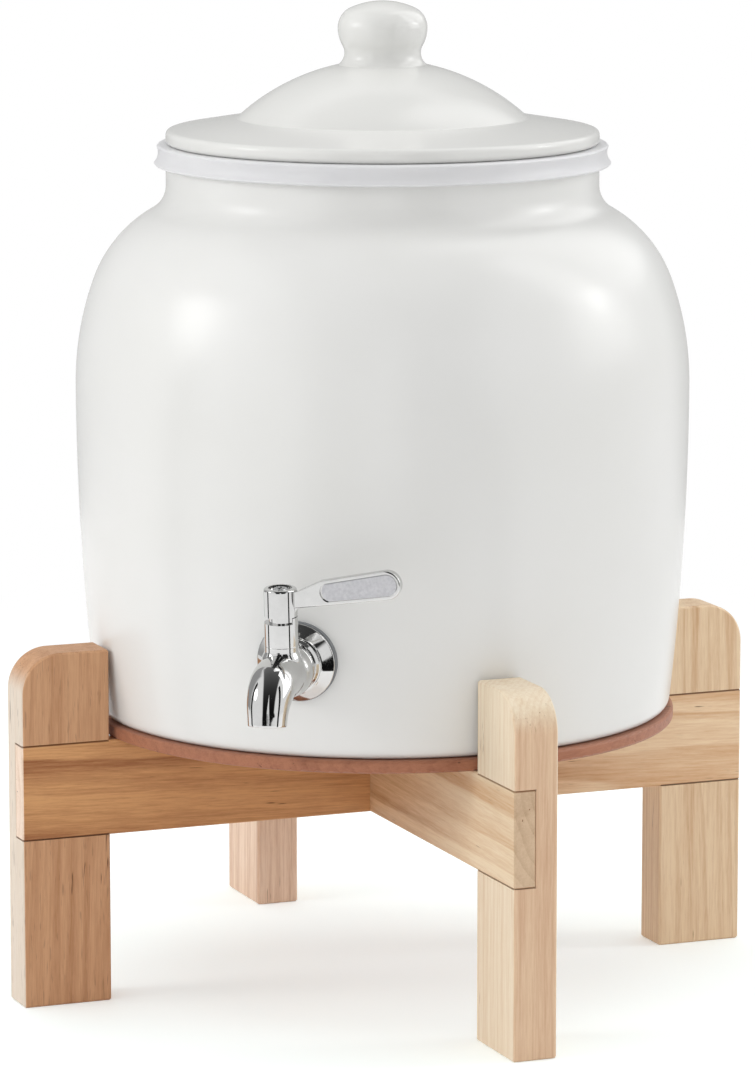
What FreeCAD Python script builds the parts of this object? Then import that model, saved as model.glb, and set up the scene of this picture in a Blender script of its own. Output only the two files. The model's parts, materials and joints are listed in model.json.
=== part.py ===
import FreeCAD, Part
import math
import os
import Sketcher
from FreeCAD import Placement, Rotation, Vector

# Stoneware water crock with a lever tap, standing on a slotted wooden stand.
#
# Millimetres. The origin is on the crock's axis at floor level, +Z is up and the
# tap points along -Y. Every piece is a solid of its own, written to parts/NAME.step.
# Names that start with "tap_" or "lever_" count outwards (away from the crock's wall)
# and upwards from the point where the tap's axis meets the outside of the wall.

# ----------------------------------------------------------------------------
# Driving dimensions
# ----------------------------------------------------------------------------

DRIVING_DIMENSIONS = {
    # Stand
    "stand_span": 344.0,
    "stand_angle": 37.7,
    "leg_height": 156.5,
    "leg_depth": 40.0,
    "leg_thickness": 20.0,
    "leg_tip_radius": 17.5,
    "leg_edge_bevel": 0.8,
    "beam_bottom": 74.5,
    "beam_height": 42.0,
    "beam_thickness": 10.0,
    "beam_edge_bevel": 0.6,
    "lap_clearance": 0.15,
    "screw_length": 16.0,
    "screw_radius": 1.8,
    "screw_head_radius": 3.6,
    "screw_head_height": 2.0,
    "screw_spacing": 22.0,
    "disc_radius": 129.3,
    "disc_thickness": 5.5,
    "disc_edge_radius": 1.2,
    # Crock
    "crock_height": 246.0,
    "crock_wall": 7.0,
    "crock_floor": 9.0,
    "belly_radius": 135.2,
    "belly_height": 144.0,
    "side_arc_radius": 1300.0,
    "shoulder_height": 190.0,
    "shoulder_arc_radius": 134.0,
    "shoulder_turn_radius": 57.0,
    "neck_fillet_radius": 13.0,
    "neck_radius": 95.0,
    "foot_corner_radius": 5.0,
    "floor_corner_radius": 10.0,
    "foot_recess_radius": 108.0,
    "foot_recess_depth": 2.0,
    # Ring on the rim
    "ring_skirt_drop": 5.8,
    "ring_skirt_width": 5.2,
    "ring_lip_height": 0.8,
    "ring_waist_radius": 6.6,
    "ring_top_thickness": 3.2,
    "ring_inner_drop": 11.0,
    "ring_inner_thickness": 3.5,
    # Lid
    "lid_setback": 5.2,
    "lid_edge_height": 6.0,
    "lid_edge_radius": 2.6,
    "lid_brim_width": 31.2,
    "lid_step_height": 11.3,
    "lid_dome_arc_radius": 96.0,
    "lid_dome_height": 34.4,
    "lid_hollow_step": 15.0,
    "lid_hollow_edge_height": 5.0,
    "lid_hollow_height": 28.5,
    "lid_plug_clearance": 1.5,
    "lid_plug_wall": 6.0,
    "lid_plug_depth": 12.0,
    "knob_radius": 19.6,
    "knob_centre_height": 50.6,
    "knob_corner_radius": 9.5,
    "knob_top_radius": 34.0,
    "knob_side_radius": 16.0,
    "knob_side_drop": 7.8,
    "knob_neck_radius": 6.5,
    # Tap body and what holds it in the wall
    "tap_height": 42.8,
    "tap_hole_radius": 8.5,
    "tap_shank_radius": 8.0,
    "tap_shank_length": 24.0,
    "tap_seal_radius": 17.3,
    "tap_seal_thickness": 1.6,
    "tap_flange_radius": 17.0,
    "tap_flange_rim": 1.2,
    "tap_flange_thickness": 5.4,
    "tap_flange_front_radius": 12.4,
    "tap_flange_collar": 1.5,
    "tap_barrel_radius": 10.1,
    "tap_ball_radius": 11.5,
    "tap_ball_reach": 15.6,
    "tap_inner_seal_radius": 14.5,
    "tap_inner_seal_thickness": 3.0,
    "tap_washer_radius": 14.0,
    "tap_washer_thickness": 1.5,
    "tap_nut_width": 24.0,
    "tap_nut_thickness": 6.0,
    "tap_waterway_radius": 3.7,
    # Spout
    "spout_reach": 45.4,
    "spout_bend_radius": 14.0,
    "spout_bend_angle": 80.0,
    "spout_outlet_radius": 8.15,
    "spout_bore_radius": 6.4,
    "spout_drop": 15.9,
    # Valve
    "valve_reach": 22.3,
    "valve_plug_radius": 5.45,
    "valve_port_radius": 3.7,
    "valve_running_clearance": 0.05,
    "valve_plug_bottom": 6.0,
    "valve_plug_top": 4.9,
    "valve_stem_radius": 3.4,
    "valve_boss_rise": 1.5,
    "bonnet_height": 12.3,
    "bonnet_radius": 7.15,
    "bonnet_spigot_radius": 5.8,
    "stem_seal_thickness": 1.1,
    "stem_seal_height": 12.4,
    "stem_seal_spacing": 4.6,
    # Lever
    "lever_gap": 0.3,
    "lever_cap_radius": 7.0,
    "lever_cap_height": 11.95,
    "lever_cap_rounding": 1.0,
    "lever_cap_recess_radius": 5.0,
    "lever_cap_recess_depth": 1.5,
    "lever_drive_width": 4.6,
    "lever_drive_height": 6.0,
    "lever_length": 52.5,
    "lever_thickness": 4.0,
    "lever_tip_radius": 6.1,
    "lever_tip_rise": 15.5,
    "lever_lower_angle": 8.0,
    "lever_upper_angle": 11.5,
    "lever_upper_start": 17.8,
    "lever_neck_top": 10.7,
    "lever_edge_radius": 0.6,
    "lever_web_radius": 3.2,
    "lever_inlay_upper_start": 19.2,
    "lever_inlay_lower_start": 21.2,
    "lever_inlay_end_radius": 4.4,
    "lever_inlay_margin": 1.3,
    "lever_inlay_groove": 0.35,
    "lever_inlay_recess": 0.9,
    "lever_inlay_thickness": 0.6,
    "lever_screw_radius": 1.5,
    "lever_screw_length": 9.0,
    "lever_screw_head_radius": 3.2,
    "lever_screw_head_height": 1.3,
    "lever_screw_slot_width": 0.8,
    "lever_screw_slot_depth": 0.7,
    "stop_tab_height": 1.8,
    "stop_tab_thickness": 1.7,
    "stop_tab_angle": 58.0,
    "stop_slot_depth": 2.5,
    "stop_end_clearance": 1.0,
    "lever_swing": 90.0,
}

doc = FreeCAD.newDocument("water_crock")
sheet = doc.addObject("Spreadsheet::Sheet", "sizes")
for row, (alias, number) in enumerate(DRIVING_DIMENSIONS.items(), start=1):
    sheet.set(f"A{row}", alias)
    sheet.set(f"B{row}", str(number))
    sheet.setAlias(f"B{row}", alias)
doc.recompute()


class Size:
    """A length as a number together with the spreadsheet expression that gives it."""

    def __init__(self, value, text):
        self.value = value
        self.text = text

    def __add__(self, other):
        other = as_size(other)
        return Size(self.value + other.value, f"({self.text} + {other.text})")

    def __sub__(self, other):
        other = as_size(other)
        return Size(self.value - other.value, f"({self.text} - {other.text})")

    def __mul__(self, other):
        other = as_size(other)
        return Size(self.value * other.value, f"({self.text} * {other.text})")

    def __truediv__(self, other):
        other = as_size(other)
        return Size(self.value / other.value, f"({self.text} / {other.text})")

    def __neg__(self):
        return Size(-self.value, f"(0 - {self.text})")


def as_size(thing):
    """Gives a plain number the form of a Size and leaves a Size as it is."""
    return thing if isinstance(thing, Size) else Size(float(thing), f"{float(thing):.12f}")


def root(size):
    """Square root of a Size."""
    return Size(math.sqrt(size.value), f"sqrt({size.text})")


def sine(angle):
    """Sine of a Size in degrees."""
    return Size(math.sin(math.radians(angle.value)), f"sin({angle.text})")


def cosine(angle):
    """Cosine of a Size in degrees."""
    return Size(math.cos(math.radians(angle.value)), f"cos({angle.text})")


def arcsine(ratio):
    """Angle in degrees whose sine is a Size."""
    return Size(math.degrees(math.asin(ratio.value)), f"(asin({ratio.text}) / 1 deg)")


def size(alias):
    """The named driving dimension, read from the spreadsheet."""
    return Size(float(sheet.get(alias)), f"sizes.{alias}")


# ----------------------------------------------------------------------------
# Drawing helpers
# ----------------------------------------------------------------------------

sub_parts = {}


def keep(name, thing):
    """Registers an object as a finished sub-part under its own name."""
    thing.Label = name
    sub_parts[name] = thing
    return thing


def bind(thing, **properties):
    """Binds properties of an object to sizes of the spreadsheet."""
    for name, value in properties.items():
        thing.setExpression(name, as_size(value).text)
    return thing


def place(thing, x=0, y=0, z=0, axis=Vector(0, 0, 1), angle=0):
    """Places an object; coordinates and the angle stay bound to their sizes."""
    x, y, z, angle = as_size(x), as_size(y), as_size(z), as_size(angle)
    thing.Placement = Placement(Vector(x.value, y.value, z.value), Rotation(axis, angle.value))
    bind(thing, **{"Placement.Base.x": x, "Placement.Base.y": y, "Placement.Base.z": z})
    if angle.value:
        bind(thing, **{"Placement.Rotation.Angle": angle})
    return thing


def corner(across, up, arc=None, side=1):
    """A corner of an outline. arc is the radius of the stretch from here to the next
    corner, if that stretch is an arc, and side is 1 when its centre is on the left."""
    return as_size(across), as_size(up), arc, side


def arc_between(start, end, radius, side):
    """The shorter arc of a given radius from start to end."""
    chord = end - start
    left = Vector(-chord.y, chord.x, 0).normalize() * side
    rise = radius - math.sqrt(max(radius**2 - (chord.Length / 2) ** 2, 0))
    return Part.Arc(start, (start + end) / 2 - left * rise, end)


def pin_down(sketch, index, end, across, up):
    """Fixes one end of a sketched edge at its two bound coordinates."""
    for kind, axis_index, value in (("DistanceX", -2, across), ("DistanceY", -1, up)):
        if value.value == 0:
            sketch.addConstraint(Sketcher.Constraint("PointOnObject", index, end, axis_index))
            continue
        rule = sketch.addConstraint(
            Sketcher.Constraint(kind, -1, 1, index, end, value.value)
        )
        sketch.setExpression(f"Constraints[{rule}]", value.text)


def new_sketch(body, plane):
    """An empty sketch on one of the body's own origin planes."""
    sketch = body.newObject("Sketcher::SketchObject", f"{body.Name}_outline")
    origin_plane = next(item for item in body.Origin.OriginFeatures if item.Role == plane)
    sketch.AttachmentSupport = [(origin_plane, "")]
    sketch.MapMode = "FlatFace"
    return sketch


def outline(sketch, corners):
    """Draws a closed outline of lines and arcs, fully bound to the spreadsheet."""
    points = [Vector(across.value, up.value, 0) for across, up, _, _ in corners]
    starts, ends = [], []
    for number, (_, _, arc, side) in enumerate(corners):
        start, end = points[number], points[(number + 1) % len(points)]
        if arc is None:
            index = sketch.addGeometry(Part.LineSegment(start, end))
            first = 1
        else:
            index = sketch.addGeometry(arc_between(start, end, arc.value, side))
            first = 1 if (sketch.getPoint(index, 1) - start).Length < 1e-4 else 2
            rule = sketch.addConstraint(Sketcher.Constraint("Radius", index, arc.value))
            sketch.setExpression(f"Constraints[{rule}]", arc.text)
        starts.append((index, first))
        ends.append((index, 3 - first))
    for number, (across, up, _, _) in enumerate(corners):
        index, end = starts[number]
        sketch.addConstraint(Sketcher.Constraint("Coincident", *ends[number - 1], index, end))
        pin_down(sketch, index, end, across, up)
    return sketch


def circle(sketch, radius, across=0, up=0):
    """Draws a circle in a sketch, bound to its radius and centre."""
    across, up = as_size(across), as_size(up)
    centre = Vector(across.value, up.value, 0)
    index = sketch.addGeometry(Part.Circle(centre, Vector(0, 0, 1), radius.value))
    pin_down(sketch, index, 3, across, up)
    rule = sketch.addConstraint(Sketcher.Constraint("Radius", index, radius.value))
    sketch.setExpression(f"Constraints[{rule}]", radius.text)


def turned(name, corners):
    """A body turned about its own Z axis from an outline of radius and height."""
    body = doc.addObject("PartDesign::Body", name)
    sketch = outline(new_sketch(body, "XZ_Plane"), corners)
    turning = body.newObject("PartDesign::Revolution", f"{name}_turning")
    turning.Profile = sketch
    turning.ReferenceAxis = (sketch, ["V_Axis"])
    turning.Angle = 360
    doc.recompute()
    return body


def padded(name, plane, corners, thickness, hole=None):
    """A body padded from an outline, half its thickness to each side of the plane."""
    body = doc.addObject("PartDesign::Body", name)
    sketch = outline(new_sketch(body, plane), corners)
    if hole is not None:
        circle(sketch, hole)
    pad = body.newObject("PartDesign::Pad", f"{name}_pad")
    pad.Profile = sketch
    pad.SideType = "Symmetric"
    bind(pad, Length=thickness)
    doc.recompute()
    return body


def pocketed(body, plane, corners, depth, towards_plus, start=None):
    """Cuts an outline into a body on one side of a plane, beginning start away from the
    plane towards its minus side, and checks that the cut removes something."""
    before = body.Shape.Volume
    sketch = outline(new_sketch(body, plane), corners)
    if start is not None:
        sketch.AttachmentOffset = Placement(Vector(0, 0, start.value), Rotation())
        bind(sketch, **{"AttachmentOffset.Base.z": start})
    pocket = body.newObject("PartDesign::Pocket", f"{body.Name}_pocket")
    pocket.Profile = sketch
    pocket.Reversed = not towards_plus
    bind(pocket, Length=depth)
    doc.recompute()
    if body.Shape.Volume >= before:
        raise RuntimeError(f"the pocket in {body.Name} cuts nothing")
    return body


def dressed(body, kind, amount, wanted):
    """Fillets or chamfers those edges of a body that the test picks out."""
    base = body.Tip
    edges = [
        f"Edge{number}"
        for number, edge in enumerate(base.Shape.Edges, start=1)
        if wanted(edge)
    ]
    feature = body.newObject(f"PartDesign::{kind}", f"{body.Name}_{kind.lower()}")
    feature.Base = (base, edges)
    bind(feature, **{"Radius" if kind == "Fillet" else "Size": amount})
    doc.recompute()
    return body


def at_height(height, tolerance=1e-3):
    """Test for edges that lie at one height of their body."""
    return lambda edge: (
        abs(edge.BoundBox.ZMin - height.value) < tolerance
        and abs(edge.BoundBox.ZMax - height.value) < tolerance
    )


def cylinder(radius, height, name="cylinder"):
    """A Part cylinder bound to its sizes."""
    return bind(doc.addObject("Part::Cylinder", name), Radius=radius, Height=height)


def box(length, width, height, name="box"):
    """A Part box bound to its sizes."""
    return bind(doc.addObject("Part::Box", name), Length=length, Width=width, Height=height)


def fused(name, *things):
    """The union of several objects."""
    union = doc.addObject("Part::MultiFuse", name)
    union.Shapes = list(things)
    union.Refine = True
    doc.recompute()
    return union


def cut(name, base, tool):
    """The base without the tool."""
    remainder = doc.addObject("Part::Cut", name)
    remainder.Base = base
    remainder.Tool = tool
    doc.recompute()
    return remainder


# ----------------------------------------------------------------------------
# Wooden stand: two half-lapped beams on edge, four notched legs and a round base
# ----------------------------------------------------------------------------

half_span = size("stand_span") / 2
leg_thickness = size("leg_thickness")
beam_bottom = size("beam_bottom")
beam_top = beam_bottom + size("beam_height")
beam_middle = beam_bottom + size("beam_height") / 2
beam_thickness = size("beam_thickness")
lap = size("lap_clearance")
stand_angle = size("stand_angle")
CUT_PAST = 5.0


def leg_block(name, side, turn):
    """One leg in the frame of its beam: X runs outwards along the beam and the notch for
    the beam is on the +Y face (side 1) or on the -Y face (side -1)."""
    inner = half_span - size("leg_depth")
    tip = size("leg_tip_radius")
    body = padded(
        f"{name}_block",
        "XZ_Plane",
        [
            corner(inner, 0),
            corner(half_span, 0),
            corner(half_span, size("leg_height") - tip, arc=tip),
            corner(half_span - tip, size("leg_height")),
            corner(inner, size("leg_height")),
        ],
        leg_thickness,
    )
    dressed(body, "Chamfer", size("leg_edge_bevel"), lambda edge: True)
    pocketed(
        body,
        "XZ_Plane",
        [
            corner(inner - CUT_PAST, beam_bottom - lap),
            corner(half_span + CUT_PAST, beam_bottom - lap),
            corner(half_span + CUT_PAST, beam_top + lap),
            corner(inner - CUT_PAST, beam_top + lap),
        ],
        beam_thickness,
        towards_plus=side > 0,
    )
    return place(body, angle=turn)


def beam_blank(name, side, turn, slot_bottom, slot_top):
    """One beam on edge, beside the plane through the crock's axis, slotted at the middle
    where the other beam crosses it."""
    body = padded(
        f"{name}_blank",
        "XZ_Plane",
        [
            corner(-half_span, beam_bottom),
            corner(half_span, beam_bottom),
            corner(half_span, beam_top),
            corner(-half_span, beam_top),
        ],
        beam_thickness,
    )
    dressed(body, "Chamfer", size("beam_edge_bevel"), lambda edge: True)
    slot = box(beam_thickness + lap * 2, beam_thickness + 2 * CUT_PAST, slot_top - slot_bottom)
    place(slot, x=-lap, y=-(beam_thickness / 2 + CUT_PAST), z=slot_bottom)
    slotted = cut(f"{name}_slotted", body, slot)
    aside = beam_thickness / 2 * side
    return place(slotted, x=-aside * sine(turn), y=aside * cosine(turn), angle=turn)


def wood_screw(side, height):
    """A countersunk screw, in the frame of its leg, from the leg's plain face through the
    leg into the beam."""
    head = bind(
        doc.addObject("Part::Cone", "screw_head"),
        Radius1=size("screw_head_radius"),
        Radius2=size("screw_radius"),
        Height=size("screw_head_height"),
    )
    shank = cylinder(size("screw_radius"), size("screw_length"), "screw_shank")
    return place(
        fused("leg_screw", head, shank),
        x=half_span - size("leg_depth") / 2,
        y=leg_thickness / 2 * -side,
        z=height,
        axis=Vector(-side, 0, 0),
        angle=90,
    )


def grouped(name, *things):
    """Several separate solids kept together as one object."""
    group = doc.addObject("Part::Compound", name)
    group.Links = list(things)
    doc.recompute()
    return group


LEGS = {
    "leg_front_left": (1, stand_angle + 180),
    "leg_front_right": (-1, stand_angle + 270),
    "leg_back_right": (-1, stand_angle),
    "leg_back_left": (1, stand_angle + 90),
}
screw_pairs = []
for leg_side, leg_turn in LEGS.values():
    pair = [
        wood_screw(leg_side, beam_middle + size("screw_spacing") / 2 * above)
        for above in (-1, 1)
    ]
    screw_pairs.append(place(grouped("screw_pair", *pair), angle=leg_turn))
screws = keep("leg_screws", grouped("leg_screws", *screw_pairs))

for leg_name, (leg_side, leg_turn) in LEGS.items():
    keep(leg_name, cut(leg_name, leg_block(leg_name, leg_side, leg_turn), screws))

lower_beam = beam_blank("beam_lower", 1, stand_angle + 180, beam_middle, beam_top + CUT_PAST)
upper_beam = beam_blank(
    "beam_upper", -1, stand_angle + 270, beam_bottom - CUT_PAST, beam_middle
)
keep("beam_lower", cut("beam_lower", lower_beam, screws))
keep("beam_upper", cut("beam_upper", upper_beam, screws))

disc_top = beam_top + size("disc_thickness")
base_disc = turned(
    "base_disc",
    [
        corner(0, 0),
        corner(size("disc_radius"), 0),
        corner(size("disc_radius"), size("disc_thickness")),
        corner(0, size("disc_thickness")),
    ],
)
dressed(base_disc, "Fillet", size("disc_edge_radius"), lambda edge: len(edge.Vertexes) == 1)
keep("base_disc", place(base_disc, z=beam_top))

# ----------------------------------------------------------------------------
# Crock: a thrown stoneware wall of tangent arcs, the same thickness all the way up
# ----------------------------------------------------------------------------

wall = size("crock_wall")
belly = (size("belly_radius"), size("belly_height"))
neck_radius = size("neck_radius")
rim_height = size("crock_height")


def on_arc(centre, radius, height):
    """The outer point of an arc at a given height."""
    drop = height - centre[1]
    return centre[0] + root(radius * radius - drop * drop), height


def along(start, end, share):
    """The point that lies a share of the way from start to end."""
    return tuple(a + (b - a) * share for a, b in zip(start, end))


side_arc = size("side_arc_radius")
shoulder_arc = size("shoulder_arc_radius")
shoulder_turn = size("shoulder_turn_radius")
neck_fillet = size("neck_fillet_radius")

side_centre = (belly[0] - side_arc, belly[1])
shoulder_centre = (belly[0] - shoulder_arc, belly[1])
shoulder_joint = on_arc(shoulder_centre, shoulder_arc, size("shoulder_height"))
turn_centre = along(shoulder_joint, shoulder_centre, shoulder_turn / shoulder_arc)
fillet_reach = neck_radius + neck_fillet - turn_centre[0]
turn_and_fillet = shoulder_turn + neck_fillet
fillet_centre = (
    neck_radius + neck_fillet,
    turn_centre[1] + root(turn_and_fillet * turn_and_fillet - fillet_reach * fillet_reach),
)
neck_joint = along(turn_centre, fillet_centre, shoulder_turn / turn_and_fillet)


def wall_points(inset, lowest):
    """Corners of the crock's wall from its lowest point up to the rim. inset moves the
    line inwards along the arcs' own radii, so that the wall keeps one thickness."""
    return [
        on_arc(side_centre, side_arc - inset, lowest),
        (belly[0] - inset, belly[1]),
        along(shoulder_centre, shoulder_joint, (shoulder_arc - inset) / shoulder_arc),
        along(turn_centre, neck_joint, (shoulder_turn - inset) / shoulder_turn),
        (neck_radius - inset, fillet_centre[1]),
        (neck_radius - inset, rim_height),
    ]


def wall_arcs(inset):
    """Radius and side of the arc that follows each of the wall's corners, going up."""
    return [
        (side_arc - inset, 1),
        (shoulder_arc - inset, 1),
        (shoulder_turn - inset, 1),
        (neck_fillet + inset, -1),
    ]


NO_INSET = Size(0.0, "0")
outside = wall_points(NO_INSET, NO_INSET)
inside = wall_points(wall, size("crock_floor"))
going_up = wall_arcs(NO_INSET) + [(None, 1), (None, 1)]
going_down = [(None, 1), (None, 1)] + [(arc, -side) for arc, side in reversed(wall_arcs(wall))]
crock_corners = [corner(0, 0)]
crock_corners += [corner(*point, *arc) for point, arc in zip(outside, going_up)]
crock_corners += [
    corner(*point, *arc)
    for point, arc in zip(reversed(inside), going_down[1:] + [(None, 1)])
]
crock_corners += [corner(0, size("crock_floor"))]

crock_wall = turned("crock_wall_turned", crock_corners)
dressed(crock_wall, "Fillet", size("foot_corner_radius"), at_height(NO_INSET))
dressed(crock_wall, "Fillet", size("floor_corner_radius"), at_height(size("crock_floor")))
place(crock_wall, z=disc_top)
foot_recess = cylinder(size("foot_recess_radius"), size("foot_recess_depth"), "foot_recess")
place(foot_recess, z=disc_top)

# The tap stands square to the wall, which leans by a few degrees at that height. Its own
# frame starts where its axis meets the outside of the wall: -Y outwards, Z up the stem.
tap_z = disc_top + size("tap_height")
tap_face = on_arc(side_centre, side_arc, size("tap_height"))[0]
lean_sine = (belly[1] - size("tap_height")) / side_arc
tap_lean = arcsine(lean_sine)
ALONG = Vector(1, 0, 0)


def seated(thing):
    """Moves a piece modelled in the tap's own frame to its place on the crock."""
    return place(thing, y=-tap_face, z=tap_z, axis=ALONG, angle=tap_lean)


def on_tap_axis(thing, out=0):
    """Lays a piece modelled along its own Z axis on the tap's axis, pointing outwards."""
    out = as_size(out)
    return place(
        thing,
        y=-(tap_face + out * cosine(tap_lean)),
        z=tap_z - out * lean_sine,
        axis=ALONG,
        angle=tap_lean + 90,
    )


tap_hole = on_tap_axis(cylinder(size("tap_hole_radius"), wall * 6, "tap_hole"), -(wall * 3))
crock = cut("crock", crock_wall, fused("crock_openings", foot_recess, tap_hole))
keep("crock", crock)

# Flexible ring slipped over the crock's rim; the lid rests on its flat top.
skirt_out = neck_radius + size("ring_skirt_width")
skirt_low = -size("ring_skirt_drop")
ring_top = size("ring_top_thickness")
ring_inside = neck_radius - wall - size("ring_inner_thickness")
RING_CHAMFER = 0.8
RING_TAPER = 1.2
rim_ring = turned(
    "rim_ring",
    [
        corner(neck_radius, skirt_low),
        corner(skirt_out - RING_CHAMFER, skirt_low),
        corner(skirt_out, skirt_low + size("ring_lip_height"), size("ring_waist_radius"), -1),
        corner(skirt_out - RING_TAPER, ring_top - RING_CHAMFER),
        corner(skirt_out - RING_TAPER - RING_CHAMFER, ring_top),
        corner(ring_inside, ring_top),
        corner(ring_inside, -size("ring_inner_drop")),
        corner(neck_radius - wall, -size("ring_inner_drop")),
        corner(neck_radius - wall, 0),
        corner(neck_radius, 0),
    ],
)
rim_z = disc_top + rim_height
keep("rim_ring", place(rim_ring, z=rim_z))

# ----------------------------------------------------------------------------
# Lid: brim, step, dome and knob in one piece, hollow below, with a locating rim
# ----------------------------------------------------------------------------

lid_radius = skirt_out - size("lid_setback")
plug_radius = ring_inside - size("lid_plug_clearance")
plug_inside = plug_radius - size("lid_plug_wall")
hollow_rise = size("lid_hollow_height") - size("lid_hollow_edge_height")
hollow_edge = plug_inside - size("lid_hollow_step")
hollow_arc = (hollow_edge * hollow_edge + hollow_rise * hollow_rise) / (hollow_rise * 2)
knob_corner = size("knob_corner_radius")
knob_top = size("knob_top_radius")
knob_y = size("knob_centre_height")
corner_centre = (size("knob_radius") - knob_corner, knob_y)
top_reach = knob_top - knob_corner
top_centre = (
    NO_INSET,
    knob_y - root(top_reach * top_reach - corner_centre[0] * corner_centre[0]),
)
top_joint = along(top_centre, corner_centre, knob_top / top_reach)
side_radius = size("knob_side_radius")
knob_side_centre = (size("knob_radius") - side_radius, knob_y)
knob_side_end = on_arc(knob_side_centre, side_radius, knob_y - size("knob_side_drop"))
neck_curve = size("knob_neck_radius")
neck_centre = along(knob_side_centre, knob_side_end, (side_radius + neck_curve) / side_radius)
neck_foot_drop = neck_centre[1] - size("lid_dome_height")
neck_foot = neck_centre[0] - root(neck_curve * neck_curve - neck_foot_drop * neck_foot_drop)

lid = turned(
    "lid",
    [
        corner(0, size("lid_hollow_height"), hollow_arc, -1),
        corner(hollow_edge, size("lid_hollow_edge_height")),
        corner(plug_inside, size("lid_hollow_edge_height") / 2),
        corner(plug_inside, -size("lid_plug_depth")),
        corner(plug_radius, -size("lid_plug_depth")),
        corner(plug_radius, 0),
        corner(lid_radius, 0),
        corner(lid_radius, size("lid_edge_height")),
        corner(
            lid_radius - size("lid_brim_width"),
            size("lid_step_height"),
            size("lid_dome_arc_radius"),
        ),
        corner(neck_foot, size("lid_dome_height"), neck_curve, -1),
        corner(*knob_side_end, side_radius, 1),
        corner(size("knob_radius"), knob_y, knob_corner, 1),
        corner(*top_joint, knob_top, 1),
        corner(0, top_centre[1] + knob_top),
    ],
)


def lid_brim_edge(edge):
    """Test for the two outermost edges of the lid."""
    return abs(edge.BoundBox.XMax - lid_radius.value) < 1e-3 and (
        len(edge.Vertexes) == 1
    )


dressed(lid, "Fillet", size("lid_edge_radius"), lid_brim_edge)
lid_z = rim_z + ring_top
keep("lid", place(lid, z=lid_z))

# ----------------------------------------------------------------------------
# Tap: what clamps it in the wall
# ----------------------------------------------------------------------------

shank_radius = size("tap_shank_radius")
seal_front = size("tap_seal_thickness")


def washer(name, radius, back, front):
    """A flat round washer that fits the tap's shank, between two distances."""
    return turned(
        name,
        [
            corner(shank_radius, back),
            corner(radius, back),
            corner(radius, front),
            corner(shank_radius, front),
        ],
    )


# Both soft seals follow the round wall where they press against it.
outer_blank = washer("outer_seal_blank", size("tap_seal_radius"), -(wall / 2), seal_front)
keep("tap_outer_seal", cut("tap_outer_seal", on_tap_axis(outer_blank), crock))
inner_face = -(wall + size("tap_inner_seal_thickness"))
inner_blank = washer("inner_seal_blank", size("tap_inner_seal_radius"), inner_face, -(wall / 2))
keep("tap_inner_seal", cut("tap_inner_seal", on_tap_axis(inner_blank), crock))

washer_face = inner_face - size("tap_washer_thickness")
steel_washer = washer("tap_washer", size("tap_washer_radius"), washer_face, inner_face)
keep("tap_washer", on_tap_axis(steel_washer))

nut_corner = size("tap_nut_width") / math.sqrt(3)
nut = padded(
    "tap_nut",
    "XY_Plane",
    [
        corner(
            nut_corner * math.cos(math.radians(60 * number + 30)),
            nut_corner * math.sin(math.radians(60 * number + 30)),
        )
        for number in range(6)
    ],
    size("tap_nut_thickness"),
    hole=shank_radius,
)
keep("tap_nut", on_tap_axis(nut, washer_face - size("tap_nut_thickness") / 2))

flange_front = seal_front + size("tap_flange_thickness")
barrel_start = flange_front + size("tap_flange_collar")
barrel_radius = size("tap_barrel_radius")
front_radius = size("tap_flange_front_radius")
FLANGE_EDGE = 0.5
flange = turned(
    "tap_flange",
    [
        corner(shank_radius, seal_front),
        corner(size("tap_flange_radius"), seal_front),
        corner(size("tap_flange_radius"), seal_front + size("tap_flange_rim")),
        corner(front_radius + FLANGE_EDGE, flange_front - FLANGE_EDGE),
        corner(front_radius, flange_front),
        corner(barrel_radius + size("tap_flange_collar"), flange_front, barrel_start * 2, -1),
        corner(barrel_radius + FLANGE_EDGE, barrel_start),
        corner(shank_radius, barrel_start),
    ],
)
keep("tap_flange", on_tap_axis(flange))

# ----------------------------------------------------------------------------
# Tap body: shank, barrel, ball, valve boss and a spout that bends and narrows
# ----------------------------------------------------------------------------

valve_out = size("valve_reach")
bend = size("spout_bend_radius")
bend_angle = size("spout_bend_angle")
tail_length = (size("spout_drop") - bend + bend * cosine(bend_angle)) / sine(bend_angle)
bend_start = size("spout_reach") - bend * sine(bend_angle) - tail_length * cosine(bend_angle)
BEND_STEPS = 4


def outwards(thing, start):
    """Lays a piece along the tap's axis, inside the tap's own frame."""
    return place(thing, y=-start, axis=ALONG, angle=90)


def spout_loft(name, root_radius, outlet_radius, past=0):
    """A round tube lofted along the spout's bend, from a wide root to its outlet."""
    rings = []
    for step in range(BEND_STEPS + 1):
        turned_by = bend_angle * (step / BEND_STEPS)
        share = as_size(1) - cosine(turned_by)
        ring = bind(
            doc.addObject("Part::Circle", f"{name}_ring"),
            Radius=root_radius + (outlet_radius - root_radius) * share,
        )
        place(
            ring,
            y=-(bend_start + bend * sine(turned_by)),
            z=bend * cosine(turned_by) - bend,
            axis=ALONG,
            angle=turned_by + 90,
        )
        rings.append(ring)
    outlet = bind(doc.addObject("Part::Circle", f"{name}_outlet"), Radius=outlet_radius)
    place(
        outlet,
        y=-(size("spout_reach") + cosine(bend_angle) * past),
        z=-(size("spout_drop") + sine(bend_angle) * past),
        axis=ALONG,
        angle=bend_angle + 90,
    )
    loft = doc.addObject("Part::Loft", name)
    loft.Sections = rings + [outlet]
    loft.Solid = True
    loft.Ruled = False
    doc.recompute()
    return loft


def valve_column(radius, bottom, top, name):
    """A cylinder on the valve's axis; heights count from the tap's axis."""
    return place(cylinder(radius, top - bottom, name), y=-valve_out, z=bottom)


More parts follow.
